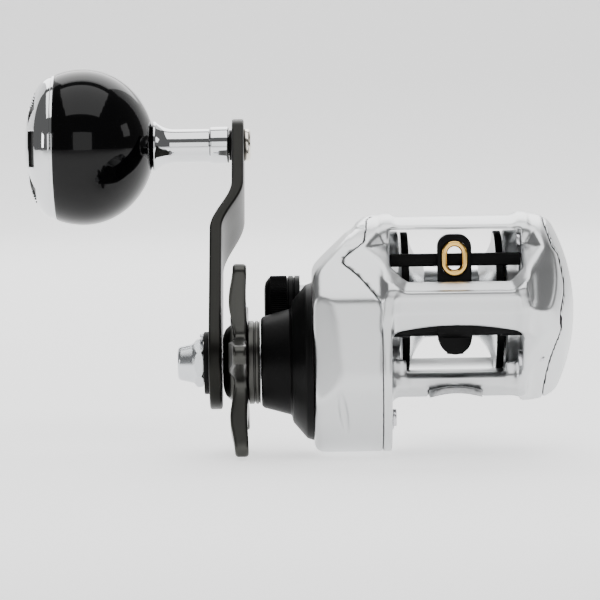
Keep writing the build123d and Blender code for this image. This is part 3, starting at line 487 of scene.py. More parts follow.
def polygon_field(x, z, corners):
    """Distance to a closed polygon, negative inside it."""
    points = np.array(corners, dtype=float)
    best = np.full(np.broadcast(x, z).shape, 1e9)
    inside = np.zeros(best.shape, dtype=bool)
    for (ax, az), (bx, bz) in zip(points, np.roll(points, -1, axis=0)):
        ex, ez = bx - ax, bz - az
        t = np.clip(((x - ax) * ex + (z - az) * ez) / (ex * ex + ez * ez), 0, 1)
        best = np.minimum(best, np.hypot(x - ax - t * ex, z - az - t * ez))
        crosses = (az > z) != (bz > z)
        with np.errstate(divide="ignore", invalid="ignore"):
            inside ^= crosses & (x < ax + ex * (z - az) / (ez if ez else 1e-9))
    return np.where(inside, -best, best)


def slab(value, low, high):
    """Distance outside the range low to high."""
    return np.maximum(low - value, value - high)


def box_field(x, y, z, xs, ys, zs, k=0.6):
    """A box with edges rounded over k."""
    return smooth_max(smooth_max(slab(x, *xs), slab(y, *ys), k), slab(z, *zs), k)


def rod_field(y, z, centre, radius):
    """An endless round bar along X."""
    return np.hypot(y - centre[0], z - centre[1]) - radius


def grid_axes(low, high, step):
    """Open grid of coordinates from low to high."""
    return np.meshgrid(*[np.arange(a, b + step, step) for a, b in zip(low, high)],
                       indexing="ij", sparse=True)


def level_surface(name, axes, field):
    """The zero level of a field as quads: one point in each cell that the level crosses, at the
    mean of the crossings on the cell's edges, and one quad across each crossed grid edge."""
    xs, ys, zs = (a.ravel() for a in axes)
    field = np.ascontiguousarray(np.broadcast_to(field, (len(xs), len(ys), len(zs))))
    inside = field < 0
    cells = tuple(n - 1 for n in field.shape)
    total, count = np.zeros((*cells, 3)), np.zeros(cells)
    offsets = [(i, j) for i in (0, 1) for j in (0, 1)]
    for axis in range(3):
        others = [a for a in range(3) if a != axis]
        for pair in offsets:
            low, high = [0, 0, 0], [0, 0, 0]
            for other, offset in zip(others, pair):
                low[other] = high[other] = offset
            high[axis] = 1
            cut = [tuple(slice(o, o + n) for o, n in zip(corner, cells)) for corner in (low, high)]
            a, b = field[cut[0]], field[cut[1]]
            crossed = inside[cut[0]] != inside[cut[1]]
            t = np.where(crossed, a / np.where(crossed, a - b, 1.0), 0.0)
            for k in range(3):
                total[..., k] += np.where(crossed, t if k == axis else float(low[k]), 0.0)
            count += crossed
    used = count > 0
    number = np.full(cells, -1)
    number[used] = np.arange(used.sum())
    where = np.argwhere(used)
    spacing = np.array([xs[1] - xs[0], ys[1] - ys[0], zs[1] - zs[0]])
    steps = where + total[used] / count[used][:, None]
    points = np.array([xs[0], ys[0], zs[0]]) + steps * spacing
    quads = []
    for axis in range(3):
        first = tuple(slice(0, n - 1) if a == axis else slice(1, n - 1)
                      for a, n in enumerate(field.shape))
        second = tuple(slice(1, n) if a == axis else slice(1, n - 1)
                       for a, n in enumerate(field.shape))
        here, there = inside[first], inside[second]
        edge = np.argwhere(here != there)
        outward = here[tuple(edge.T)]
        edge[:, [a for a in range(3) if a != axis]] += 1
        u, v = [(axis + 1) % 3, (axis + 2) % 3]
        ring = []
        for du, dv in ((0, 0), (1, 0), (1, 1), (0, 1)):
            cell = edge.copy()
            cell[:, u] -= du
            cell[:, v] -= dv
            ring.append(number[tuple(cell.T)])
        ring = np.stack(ring, -1)
        quads.append(np.where(outward[:, None], ring, ring[:, ::-1]))
    mesh = bpy.data.meshes.new(name)
    mesh.from_pydata((lifted(points) * MM).tolist(), [], np.vstack(quads).tolist())
    return closed_piece(name, mesh, 40.0)


def lifted(points):
    """Points from the drawing frame, whose origin is on the spool axis, to the object's."""
    return points + np.array([0.0, SPOOL_AXIS[0], SPOOL_AXIS[1]])


def seam_offset(z, heights, places, blend):
    """A seam's X along the height, through the given places."""
    fine = np.linspace(-60, 60, 961)
    line = np.interp(fine, heights, places)
    kernel = np.hanning(int(blend * 8) | 1)
    smooth = np.convolve(np.pad(line, len(kernel) // 2, mode="edge"), kernel / kernel.sum(),
                         "valid")
    return np.interp(z, fine, smooth)


def gear_seam(y, z):
    """Where the frame ends and the gear-side cover begins: straight at the back, and swept
    outwards over the shoulder at the front."""
    swept = seam_offset(z, [2.0, 4.0, 6.0, 7.9, 9.8, 11.3, 12.9, 14.4, 16.5, 18.7, 23.5],
                        [-20.9, -22.4, -24.1, -25.7, -27.6, -29.4, -31.6, -31.6, -28.9, -25.6,
                         -24.6], 1.2)
    front = np.clip((-6.0 - y) / 10.0, 0, 1)
    return GEAR_WALL[0] - 0.2 + (swept - GEAR_WALL[0] + 0.2) * front * front * (3 - 2 * front)


def palm_seam(y, z):
    """Where the frame ends and the palm-side cover begins: wavy at the front."""
    swept = seam_offset(z, [-25.8, -20.1, -15.3, -11.4, -5.7, -1.6, 3.5, 6.4, 10.8, 14.5, 16.6,
                            23.2],
                        [25.6, 26.3, 27.2, 28.4, 30.3, 29.8, 31.1, 31.2, 30.4, 29.7, 28.0,
                         26.1], 2.0)
    front = np.clip((4.0 - y) / 16.0, 0, 1)
    return 27.0 + (swept - 27.0) * front * front * (3 - 2 * front)


def gear_housing(x, y, z):
    """Outside of the gear side: the hull of its arcs, a sloping shoulder, a rounded outer rim,
    a shallow facet down the front and a leaf-shaped hollow in it."""
    side = hull_field(y, z, [CROWN, REAR, NOSE, GEAR_LOBE])
    shoulder = -0.7147 * x + 0.6995 * z - 36.0
    body = smooth_max(smooth_max(side, -40.5 - x, 3.4), shoulder, 1.6)
    facet = -0.26 * (x + 32.5) - 0.966 * (y + 39.0) + 0.02 * (z + 20)
    body = smooth_max(body, facet, 0.4)
    lean = x + 32.4 + 0.13 * (z + 27)
    deep = np.hypot(y - GEAR_LOBE[0], z - GEAR_LOBE[1]) - GEAR_LOBE[2] + 0.1
    leaf = 1 - np.sqrt((lean / 1.3) ** 2 + (deep / 1.0) ** 2 + ((z + 29.0) / 6.0) ** 2)
    body = smooth_max(body, np.where(y < -15, leaf, -99.0), 0.4)
    panel = polygon_field(x, z, [(-31.2, 17.6), (-28.7, 22.8), (-24.9, 23.2), (-25.9, 18.6)])
    return smooth_max(body, -smooth_max(panel, -body - 0.35, 0.3), 0.2)


def palm_housing(x, y, z):
    """Outside of the palm side: the hull of its arcs under a wide dome, with a facet at the
    front, below the top, and another at the foot."""
    side = hull_field(y, z, [CROWN, REAR, NOSE, PALM_LOBE])
    dome = np.sqrt((x + 16.8) ** 2 + (y + 7) ** 2 + (z + 2) ** 2) - 52.0
    body = smooth_max(side, dome, 4.0)
    upper = 0.42 * (x - 24.5) - 0.80 * (y + 31.6) + 0.43 * (z - 9.0)
    lower = 0.45 * (x - 27.0) - 0.60 * (y + 30.0) - 0.66 * (z + 10.0)
    body = smooth_max(body, upper, 0.6)
    return smooth_max(body, lower, 0.6)


def window_cut(x, y, z):
    """The six-sided window over the nose: a funnel through the front that narrows inwards."""
    window = polygon_field(x, z, [(-21.6, 22.0), (-25.3, 17.4), (-13.3, 7.9), (15.5, 7.8),
                                  (25.6, 16.8), (23.0, 21.8)])
    surface_y = -8 - np.sqrt(np.maximum(CROWN[2] ** 2 - (z - 1) ** 2, 60.0))
    depth = np.maximum(y - surface_y, -3.0)
    funnel = smooth_max(window + 0.9 * depth, y + 8.0, 1.0)
    between = smooth_max(window, slab(x, GEAR_WALL[1], PALM_WALL[0]), 0.4)
    return smooth_min(funnel, between, 0.8)


def frame_bars(x, y, z):
    """What joins the two walls: the nose, the hood, the low bar with its lugs and the tray."""
    span_x = slab(x, GEAR_WALL[1] - 1, PALM_WALL[0] + 1)
    bulge = np.clip(1 - (x / 17.0) ** 2, 0, 1)
    nose = polygon_field(y, z, [(-31.6, 8.0), (-36.6, 7.7), (-38.0, 5.6), (-37.4, -1.2),
                                (-35.4, -6.4), (-33.4, -6.4), (-33.4, 5.0), (-31.6, 5.8)])
    nose = smooth_max(nose, -4.6 - 1.8 * (1 - bulge) - z, 0.5)
    side = hull_field(y, z, [CROWN, NOSE, (-10.0, 0.0, 14.0)])
    sheet = smooth_max(smooth_max(side, -2.0 - side, 0.4), slab(z, 4.0, 25.5), 0.6)
    hood = polygon_field(y, z, [(-9.0, 24.6), (-15.0, 24.3), (-19.9, 22.6), (-20.4, 21.6),
                                (-19.4, 21.2), (-9.0, 21.5)])
    low_bar = polygon_field(y, z, [(-17.0, -19.0), (-23.0, -19.0), (-24.5, -20.2),
                                   (-24.5, -22.9), (-22.0, -25.9), (-17.0, -25.9)])
    bars = np.minimum(np.minimum(nose, hood), low_bar)
    bars = smooth_max(bars, span_x, 0.3)
    lugs = smooth_min(box_field(x, y, z, (-19.0, -13.9), (-24.2, -20.5), (-24.0, -15.2)),
                      box_field(x, y, z, (14.6, 20.0), (-24.2, -20.5), (-24.0, -16.2)), 0.5)
    bars = smooth_min(bars, lugs, 1.2)
    tray = box_field(x, y, z, (-19.0, 20.0), (-19.0, 13.0), (-22.6, -19.0), 0.4)
    web = smooth_max(np.hypot(y, z) - 24.0, z + 11.5, 0.5)
    web = smooth_max(smooth_max(web, -y, 0.5), y - 12.5, 0.5)
    web = smooth_max(web, span_x, 0.3)
    sheet = smooth_max(sheet, span_x, 0.3)
    return smooth_min(smooth_min(bars, np.minimum(tray, web), 1.0), sheet, 1.5)


def frame_field(x, y, z, skin):
    """The whole casting: hollow sides that keep their skin round the window too."""
    left, right = gear_housing(x, y, z), palm_housing(x, y, z)
    window = window_cut(x, y, z)
    inside_left = smooth_max(smooth_max(left, -window, 0.6) + skin, x - GEAR_WALL[0], 0.4)
    inside_right = smooth_max(smooth_max(right, -window, 0.6) + skin, PALM_WALL[1] - x, 0.4)
    wall_left = smooth_max(smooth_max(left, x - GEAR_WALL[1], 0.5), -inside_left, 0.4)
    wall_left = smooth_max(wall_left, gear_seam(y, z) + SEAM_GAP - x, 0.2)
    wall_right = smooth_max(smooth_max(right, PALM_WALL[0] - x, 0.5), -inside_right, 0.4)
    wall_right = smooth_max(wall_right, x - palm_seam(y, z) + SEAM_GAP, 0.2)
    body = smooth_min(np.minimum(wall_left, wall_right), frame_bars(x, y, z), 3.2)
    drum = smooth_max(np.hypot(y, z) - 21.0, slab(x, GEAR_WALL[1], PALM_WALL[0]), 0.2)
    body = smooth_max(body, -drum, 0.4)
    body = smooth_max(body, -window, 0.9)
    ring = np.abs(np.hypot(y, z) - 19.2) - 1.6
    rings = smooth_min(smooth_max(ring, slab(x, -18.8, -15.2), 0.5),
                       smooth_max(ring, slab(x, 15.2, 19.6), 0.5), 0.3)
    body = smooth_min(body, rings, 0.6)
    return np.maximum(body, -wall_holes(x, y, z))


def wall_holes(x, y, z):
    """Bores through the walls, the thumb bar's slot and the foot's channel."""
    drive, worm = DRIVE_AXIS - SPOOL_AXIS, WORM_AXIS - SPOOL_AXIS
    shaft_bore, drive_bore, worm_bore, brake_bore = 3.2, 4.0, 3.2, 13.85
    seat_drop, seat_r, seat_half, seat_length = 22.0, 23.65, 7.6, (-32.1, 28.1)
    slot = smooth_max(slab(y, 21.4, 23.6), slab(z, -2.9, 4.9), 0.1)
    left = np.minimum(rod_field(y, z, (0, 0), shaft_bore), rod_field(y, z, drive, drive_bore))
    left = np.maximum(np.minimum(left, slot), x + 15.0)
    right = np.maximum(rod_field(y, z, (0, 0), brake_bore), 15.0 - x)
    below = np.hypot(x, z + SPOOL_AXIS[1] + seat_drop) - seat_r
    channel = np.maximum(np.maximum(below, np.abs(x) - seat_half), slab(y, *seat_length))
    both = np.minimum(rod_field(y, z, worm, worm_bore), channel)
    return np.minimum(np.minimum(left, right), both)


# ------------------------------------------------------------------ operators

def shell_grid(low, high):
    return grid_axes(low, high, in_mm(bpy.context.scene.reel_sizes.tracing))


class REEL_OT_frame(bpy.types.Operator):
    """Traces the casting: both walls, the nose, the hood, the low bar and the rings"""
    bl_idname = "reel.frame"
    bl_label = "Frame"

    def execute(self, context):
        axes = shell_grid((-33.0, -40.0, -44.0), (32.5, 28.5, 27.0))
        skin = in_mm(context.scene.reel_sizes.skin)
        place(level_surface("cast_frame", axes, frame_field(*axes, skin)), "frame")
        return {"FINISHED"}


class REEL_OT_gear_cover(bpy.types.Operator):
    """Traces the hollow gear-side cover up to its swept seam"""
    bl_idname = "reel.gear_cover"
    bl_label = "Gear-side cover"

    def execute(self, context):
        axes = x, y, z = shell_grid((-48.0, -40.5, -43.5), (-19.5, 28.5, 27.0))
        body = gear_housing(x, y, z)
        hollow = smooth_max(body, -window_cut(x, y, z), 0.6) + in_mm(context.scene.reel_sizes.skin)
        hollow = smooth_max(hollow, -(x + 38.9), 0.5)
        cover = smooth_max(body, -hollow, 0.4)
        drive = DRIVE_AXIS - SPOOL_AXIS
        tube = np.maximum(rod_field(y, z, (0, 0), 6.35), slab(x, -46.8, -39.5))
        boss = np.maximum(rod_field(y, z, drive, 9.6), slab(x, -44.8, -39.0))
        cover = np.minimum(np.minimum(cover, tube), boss)
        cover = smooth_max(cover, x - gear_seam(y, z) + SEAM_GAP, 0.2)
        bores = np.minimum(rod_field(y, z, (0, 0), 4.25), rod_field(y, z, drive, 8.15))
        place(level_surface("gear_cover_shell", axes, np.maximum(cover, -bores)),
              "gear_side_cover")
        return {"FINISHED"}


class REEL_OT_palm_cover(bpy.types.Operator):
    """Traces the hollow, domed palm-side cover beyond its wavy seam"""
    bl_idname = "reel.palm_cover"
    bl_label = "Palm-side cover"

    def execute(self, context):
        axes = x, y, z = shell_grid((22.0, -39.0, -31.0), (36.5, 28.5, 27.0))
        body = palm_housing(x, y, z)
        cover = smooth_max(body, -body - in_mm(context.scene.reel_sizes.skin), 0.4)
        cover = smooth_max(cover, palm_seam(y, z) + SEAM_GAP - x, 0.2)
        place(level_surface("palm_cover_shell", axes, cover), "palm_side_cover")
        return {"FINISHED"}


class REEL_OT_carried_pieces(bpy.types.Operator):
    """Gives every CAD piece that stays visible its finish"""
    bl_idname = "reel.carried_pieces"
    bl_label = "Dress the carried pieces"

    def execute(self, context):
        for node, piece in frame["nodes"].items():
            piece.data.materials.clear()
            piece.data.materials.append(finish(SLOT_OF[node]))
        return {"FINISHED"}


# ------------------------------------------------------------------ turned and carried pieces

def ends(node):
    """A node's lowest and highest X."""
    low, high = span(node)
    return low[0], high[0]


def washer(name, node, centre, inner, outer, radius):
    """Turns a plain ring as long as a node, and places it."""
    low, high = ends(node)
    profile = [(low, inner), (low, outer), (high, outer), (high, inner)]
    place(turned(name, profile, centre, radius, ring=True), node)


def hexagonal(flats):
    """A hexagon's radius in each direction, as a limit for a turned piece."""
    def limit(x, angle):
        sector = (angle + math.pi / 6) % (math.pi / 3) - math.pi / 6
        return flats / 2 / np.cos(sector) + 0 * x
    return limit


def ribbed(radius, ribs, depth, low, high):
    """A ribbed zone between two X values, as a limit for a turned piece."""
    def limit(x, angle):
        zone = (x > low) & (x < high)
        return np.where(zone, radius - depth * (0.5 + 0.5 * np.cos(ribs * angle)), 99.0)
    return limit


def polar_reach(angle, circles):
    """How far the hull of circles reaches from the origin in each direction: the least of the
    hull's support over the cosine to each normal."""
    normals = np.linspace(0, 2 * math.pi, 360, endpoint=False)[:, None]
    support = np.max([cy * np.cos(normals) + cz * np.sin(normals) + r for cy, cz, r in circles],
                     axis=0)
    cosine = np.cos(angle[None, :] - normals)
    return np.where(cosine > 0.02, support / np.maximum(cosine, 0.02), 1e9).min(0)


def star_outline(angle):
    """The star's radius in each direction: the soft maximum of its hub and its five tapered
    arms, blend times the logarithm of their summed exponentials."""
    hub, tip, tip_r, blend, lift = 10.9, 29.0, 2.9, 0.9, 9.0
    total = np.exp(np.full_like(angle, hub) / blend)
    for arm in range(5):
        turn = math.radians(180 - lift + 72 * arm)
        reach = polar_reach(angle - turn, [(6.0, 0, 6.4), (tip - tip_r, 0, tip_r)])
        total = total + np.exp(reach / blend)
    return np.minimum(blend * np.log(total), tip)


def rim_profile(low, high, edge):
    """Insets and heights from the middle of one face, over a rounded rim, to the other."""
    turn = np.linspace(0, math.pi / 2, 5)
    up = np.stack([edge * (1 - np.sin(turn)), low + edge * (1 - np.cos(turn))], -1)
    down = np.stack([edge * (1 - np.cos(turn)), high - edge * (1 - np.sin(turn))], -1)
    return np.vstack([up, down])


class REEL_OT_star(bpy.types.Operator):
    """Shapes the star: five tapered arms that bow outwards, a domed hub and a grooved collar"""
    bl_idname = "reel.star"
    bl_label = "Star drag"

    def execute(self, context):
        x0, x1 = ends("star_drag")
        face, thick, rim = x0 + 3.25, 3.9, 1.0
        angle = np.linspace(0, 2 * math.pi, 640, endpoint=False)
        outline = star_outline(angle)
        share = np.linspace(0.0, 1.0, 26)[:-1]
        rows = [((outline - rim) * k, face) for k in share]
        rows += [(outline - inset, x) for inset, x in rim_profile(face, face + thick, rim)]
        rows += [((outline - rim) * k, face + thick) for k in share[::-1]]
        radius = np.array([row[0] for row in rows])
        x = np.array([row[1] for row in rows])[:, None]
        bow = np.exp(-((radius - 19.0) / 5.5) ** 2)
        front = np.linspace(0, 1, len(x))[:, None] < 0.5
        x = x - 1.35 * bow * np.where(front, 1.0, 0.25)
        grid = np.stack([x, DRIVE_AXIS[0] + radius * np.cos(angle),
                         DRIVE_AXIS[1] + radius * np.sin(angle)], -1)
        arms = surface("star_arms", grid, close_v=True)
        hub = turned("star_hub", [(x0, 5.6), (x0, 7.6), (x0 + 0.7, 9.5), (x0 + 2.2, 10.9),
                                  (x0 + 4.4, 11.45), (x0 + 4.9, 11.45), (x0 + 4.9, 5.6)],
                     DRIVE_AXIS, 0.7, ring=True)
        g = x0 + 7.2
        collar = turned("star_collar", [(g, 5.6), (g, 11.0), (g + 0.25, 12.0), (g + 1.6, 12.0),
                                        (g + 1.75, 11.5), (g + 2.05, 11.5), (g + 2.2, 12.0),
                                        (g + 2.9, 12.0), (g + 3.05, 11.6), (g + 3.2, 11.6),
                                        (g + 3.35, 12.0), (x1, 12.0), (x1, 5.6)],
                        DRIVE_AXIS, 0.12, ring=True)
        place(joined("star_arms", arms, hub, collar), "star_drag")
        return {"FINISHED"}


def joined(name, *pieces):
    """One object from several."""
    work = bmesh.new()
    for piece in pieces:
        work.from_mesh(piece.data)
        bpy.data.objects.remove(piece)
    mesh = bpy.data.meshes.new(name)
    work.to_mesh(mesh)
    work.free()
    return closed_piece(name, mesh)


class REEL_OT_handle_arm(bpy.types.Operator):
    """Shapes the cranked arm: the hull of its two ends, with rounded rims, stepped inwards"""
    bl_idname = "reel.handle_arm"
    bl_label = "Handle arm"

    def execute(self, context):
        low, high = ends("handle_arm")
        thick, rim = 3.6, 0.7
        crank, reach, hub_r, tip_r = high - low - thick, 88.0, 13.4, 8.0
        along = np.linspace(0, 1, 60)
        slope = math.asin((hub_r - tip_r) / reach)
        flank = math.pi / 2 - slope
        half = np.concatenate([
            [(hub_r * math.cos(a), hub_r * math.sin(a)) for a in np.linspace(math.pi, flank, 36)],
            [(reach * t + (hub_r + (tip_r - hub_r) * t) * math.cos(flank),
              (hub_r + (tip_r - hub_r) * t) * math.sin(flank)) for t in along[1:-1]],
            [(reach + tip_r * math.cos(a), tip_r * math.sin(a)) for a in np.linspace(flank, 0, 24)],
        ])
        plan = np.vstack([half, half[-2:0:-1] * [1, -1]])
        spine = np.clip(plan[:, :1], 0, reach) * [1, 0]
        away = plan - spine
        size = np.linalg.norm(away, axis=1, keepdims=True)
        inner = [spine + away * k * (size - rim) / size for k in np.linspace(0, 1, 5)[:-1]]
        profile = rim_profile(0.0, thick, rim)
        edge = [plan - away / size * inset for inset, _ in profile]
        rows = np.array(inner + edge + inner[::-1])
        heights = np.array([0.0] * len(inner) + [x for _, x in profile] + [thick] * len(inner))
        heights = heights[:, None]
        step = np.clip((rows[..., 0] - 44.0) / 20.0, 0, 1)
        step = step * step * (3 - 2 * step)
        x = low + heights + crank * step
        lean = math.radians(45.7)
        up, across = rows[..., 0], rows[..., 1]
        y = DRIVE_AXIS[0] + up * math.sin(lean) - across * math.cos(lean)
        z = DRIVE_AXIS[1] + up * math.cos(lean) + across * math.sin(lean)
        place(surface("arm", np.stack([x, y, z], -1), close_v=True), "handle_arm")
        return {"FINISHED"}


class REEL_OT_nut(bpy.types.Operator):
    """Turns the handle nut, its retainer and the retainer's screw"""
    bl_idname = "reel.nut"
    bl_label = "Handle nut"

    def execute(self, context):
        x0, x1 = ends("handle_nut")
        h = x1 - 2.5
        profile = [(x0, 0), (x0, 4.1), (x0 + 0.5, 4.75), (h - 0.9, 5.55), (h - 0.3, 5.7),
                   (h + 0.1, 6.1), (h + 0.7, 6.95), (x1 - 0.5, 6.95), (x1, 6.5), (x1, 0)]
        place(turned("nut", profile, DRIVE_AXIS, 0.45, limit=hexagonal(12.0), segments=240,
                     dense=0.35), "handle_nut")
        washer("retainer", "nut_retainer", DRIVE_AXIS, 3.1, 9.0, 0.3)
        place(softened("retainer_screw", 0.75), "retainer_screw")
        return {"FINISHED"}


class REEL_OT_case_cap(bpy.types.Operator):
    """Turns the black cap of the gear case, pushed in round the cast-control knob"""
    bl_idname = "reel.case_cap"
    bl_label = "Gear-case cap"

    def execute(self, context):
        x0, x1 = ends("gear_case_cap")
        profile = [(x0, 5.6), (x0, 12.4), (x0 + 0.55, 13.1), (x1 - 6.6, 15.25),
                   (x1 - 6.3, 15.6), (x1 - 5.9, 17.4), (x1 - 1.9, 22.1), (x1, 22.75),
                   (x1, 21.2), (x1 - 1.5, 20.2), (x1 - 4.9, 16.1), (x1 - 4.9, 8.1),
                   (x0 + 1.6, 8.1), (x0 + 1.6, 5.6)]
        cap = turned("case_cap", profile, DRIVE_AXIS, 0.3, ring=True, segments=360, dense=0.6,
                     reshape=self.scallop)
        place(cap, "gear_case_cap")
        return {"FINISHED"}

    def scallop(self, grid, outer):
        """Cuts each ray from the drive axis where it enters the knob's clearance circle: at
        c - sqrt(k^2 - d^2 + c^2), with k the circle's radius, d its centre's distance from the
        axis and c that distance measured along the ray."""
        toward = SPOOL_AXIS - DRIVE_AXIS
        dy, dz = grid[..., 1] - DRIVE_AXIS[0], grid[..., 2] - DRIVE_AXIS[1]
        distance = np.hypot(dy, dz)
        along = (dy * toward[0] + dz * toward[1]) / distance
        clear, wall = 8.65, 1.55
        inside = np.where(outer, clear, clear + wall) ** 2 - toward @ toward + along ** 2
        enter = np.where((inside > 0) & (along > 0), along - np.sqrt(np.maximum(inside, 0)), 99.0)
        pull = np.minimum(1.0, enter / distance)
        grid[..., 1] = DRIVE_AXIS[0] + dy * pull
        grid[..., 2] = DRIVE_AXIS[1] + dz * pull
        return grid


class REEL_OT_cast_control(bpy.types.Operator):
    """Turns the ribbed cast-control knob"""
    bl_idname = "reel.cast_control"
    bl_label = "Cast-control knob"

    def execute(self, context):
        x0, x1 = ends("cast_control_knob")
        profile = [(x0, 0), (x0, 4.6), (x0 + 0.35, 6.4), (x0 + 1.2, 7.55), (x0 + 1.7, 7.95),
                   (x0 + 1.75, 8.3), (x0 + 6.5, 8.3), (x0 + 6.6, 7.75), (x0 + 7.0, 7.75),
                   (x0 + 7.1, 8.25), (x0 + 8.4, 8.25), (x0 + 8.5, 7.8), (x0 + 8.8, 7.8),
                   (x0 + 8.9, 8.25), (x1, 8.25), (x1, 6.45), (x0 + 5.6, 6.45), (x0 + 5.6, 0)]
        ribs = context.scene.reel_sizes.knurls
        knob = turned("cast_knob", profile, SPOOL_AXIS, 0.15, segments=ribs * 6, dense=0.8,
                      limit=ribbed(8.3, ribs, 0.32, x0 + 1.74, x0 + 6.55))
        place(knob, "cast_control_knob")
        return {"FINISHED"}


class REEL_OT_ball_knob(bpy.types.Operator):
    """Turns the ball, its domed end cap with a bead and slots, and its flared chrome neck"""
    bl_idname = "reel.ball_knob"
    bl_label = "Ball knob"
    flat_reach, inner_reach, plug_r, bore_r = 21.1, 21.7, 17.9, 6.1

    def execute(self, context):
        seam, flat = ends("knob")[0], ends("knob")[1]
        low, high = span("knob")
        radius = (high[2] - low[2]) / 2
        middle = flat - self.flat_reach
        self.ball(seam, flat, middle, radius)
        self.end_cap(middle, radius)
        self.neck(flat)
        washer("knob_ring", "knob_washer", KNOB_AXIS, 2.6, 4.6, 0.2)
        return {"FINISHED"}

    def ball(self, seam, flat, middle, radius):
        """A sphere on the outer side of its middle and a shorter ellipse on the inner side."""
        first = math.acos((seam - middle) / radius)
        turn = np.linspace(first, 0.25, 48)
        stretch = np.where(np.cos(turn) > 0, self.inner_reach / radius, 1.0)
        arc = np.stack([middle + radius * np.cos(turn) * stretch, radius * np.sin(turn)], -1)
        arc = arc[arc[:, 0] < flat - 0.1]
        profile = [(seam + 2.0, self.bore_r), (seam + 2.0, self.plug_r), (seam, self.plug_r), *arc,
                   (flat, arc[-1, 1] - 0.6), (flat, self.bore_r)]
        place(turned("ball", profile, KNOB_AXIS, 0.25, ring=True, segments=200), "knob")

    def end_cap(self, middle, radius):
        """A dome over the seam, with a raised bead at its rim and six sunk slots."""
        tip, plug = ends("knob_end_cap")
        seam = plug - 1.9
        rim = math.sqrt(radius ** 2 - (seam - middle) ** 2)
        turn = np.linspace(0, math.pi / 2, 60)[1:-1]
        dome = np.stack([seam - 1.1 - (seam - 1.1 - tip) * np.cos(turn),
                         (rim - 0.7) * np.sin(turn)], -1)
        profile = [(tip, 0), *dome, (seam - 1.0, rim - 0.75), (seam - 0.9, rim - 0.2),
                   (seam - 0.1, rim - 0.1), (seam, rim - 0.4), (seam, 17.8), (plug, 17.8),
                   (plug, 16.4), (seam, 16.4), (seam - 2.0, 0)]
        cap = turned("end_cap", profile, KNOB_AXIS, 0.12, segments=288, reshape=self.slots)
        place(cap, "knob_end_cap")
        centres = face_centres(cap)
        dark = (self.slot_depth(centres) > 0.5) & (centres[:, 0] < seam - 1.2)
        second_finish(cap, "black_case", dark)

    def slot_depth(self, points):
        """One inside the slots, nought outside, with a short slope between."""
        dy, dz = points[..., 1] - KNOB_AXIS[0], points[..., 2] - KNOB_AXIS[1]
        distance, turn = np.hypot(dy, dz), np.arctan2(dz, dy)
        sector = (turn + math.pi / 6) % (math.pi / 3) - math.pi / 6
        across = np.abs(distance - 15.2) - 2.6
        along = np.abs(sector) * distance - 5.4
        field = np.hypot(np.maximum(across, 0), np.maximum(along, 0)) + np.minimum(
            np.maximum(across, along), 0)
        return np.clip(0.5 - field / 0.35, 0, 1)

    def slots(self, grid, _outer):
        """Sinks the slots into the dome."""
        low = ends("knob_end_cap")[0]
        face = grid[..., 0] < ends("knob_end_cap")[1] - 3.1
        grid[..., 0] += np.where(face & (grid[..., 0] < low + 9), 0.9 * self.slot_depth(grid), 0)
        return grid

    def neck(self, flat):
        """Flange, flare, tube and collar."""
        x0, x1 = flat, ends("knob_neck")[1]
        flare = np.linspace(0, 1, 10)
        curve = np.stack([x0 + 1.6 + 5.4 * flare, 5.1 + 1.9 * (1 - flare) ** 2.4], -1)
        profile = [(x0 - 1.0, 2.9), (x0 - 1.0, 5.9), (x0 + 0.05, 5.9), (x0 + 0.05, 7.4),
                   (x0 + 0.5, 7.7), (x0 + 1.0, 7.55), *curve, (x1 - 5.9, 5.1), (x1 - 5.5, 5.65),
                   (x1 - 0.4, 5.7), (x1, 5.35), (x1, 2.9)]
        place(turned("neck", profile, KNOB_AXIS, 0.3, ring=True), "knob_neck")


class REEL_OT_line_guide(bpy.types.Operator):
    """Shapes the gold line ring and softens its carriage, pawl cap, guard and rail"""
    bl_idname = "reel.line_guide"
    bl_label = "Line guide"

    def execute(self, context):
        low, high = span("line_ring")
        half_w, half_h = (high[0] - low[0]) / 2, (high[2] - low[2]) / 2
        centre = (low + high) / 2
        t = np.linspace(0, 2 * math.pi, 160, endpoint=False)
        bore_w, squareness = 1.95, 0.6
        mid_r = (half_w + bore_w) / 2
        path_x = mid_r * np.cos(t)
        path_z = mid_r * np.sin(t) + np.sign(np.sin(t)) * (half_h - half_w)
        v = np.linspace(0, 2 * math.pi, 40, endpoint=False)
        wide = (half_w - bore_w) / 2 * np.sign(np.cos(v)) * np.abs(np.cos(v)) ** squareness
        deep = (high[1] - low[1]) / 2 * np.sign(np.sin(v)) * np.abs(np.sin(v)) ** squareness
        grid = np.stack(np.broadcast_arrays(
            centre[0] + path_x[:, None] + wide * np.cos(t)[:, None],
            centre[1] + deep[None, :],
            centre[2] + path_z[:, None] + wide * np.sin(t)[:, None]), -1)
        place(surface("gold_ring", grid, close_u=True, close_v=True), "line_ring")
        for node, share in (("line_guide_carriage", 1.75), ("pawl_cap", 1.0),
                            ("level_wind_guard", 1.5), ("line_guide_rail", 2.0)):
            place(softened(node, share), node)
        return {"FINISHED"}


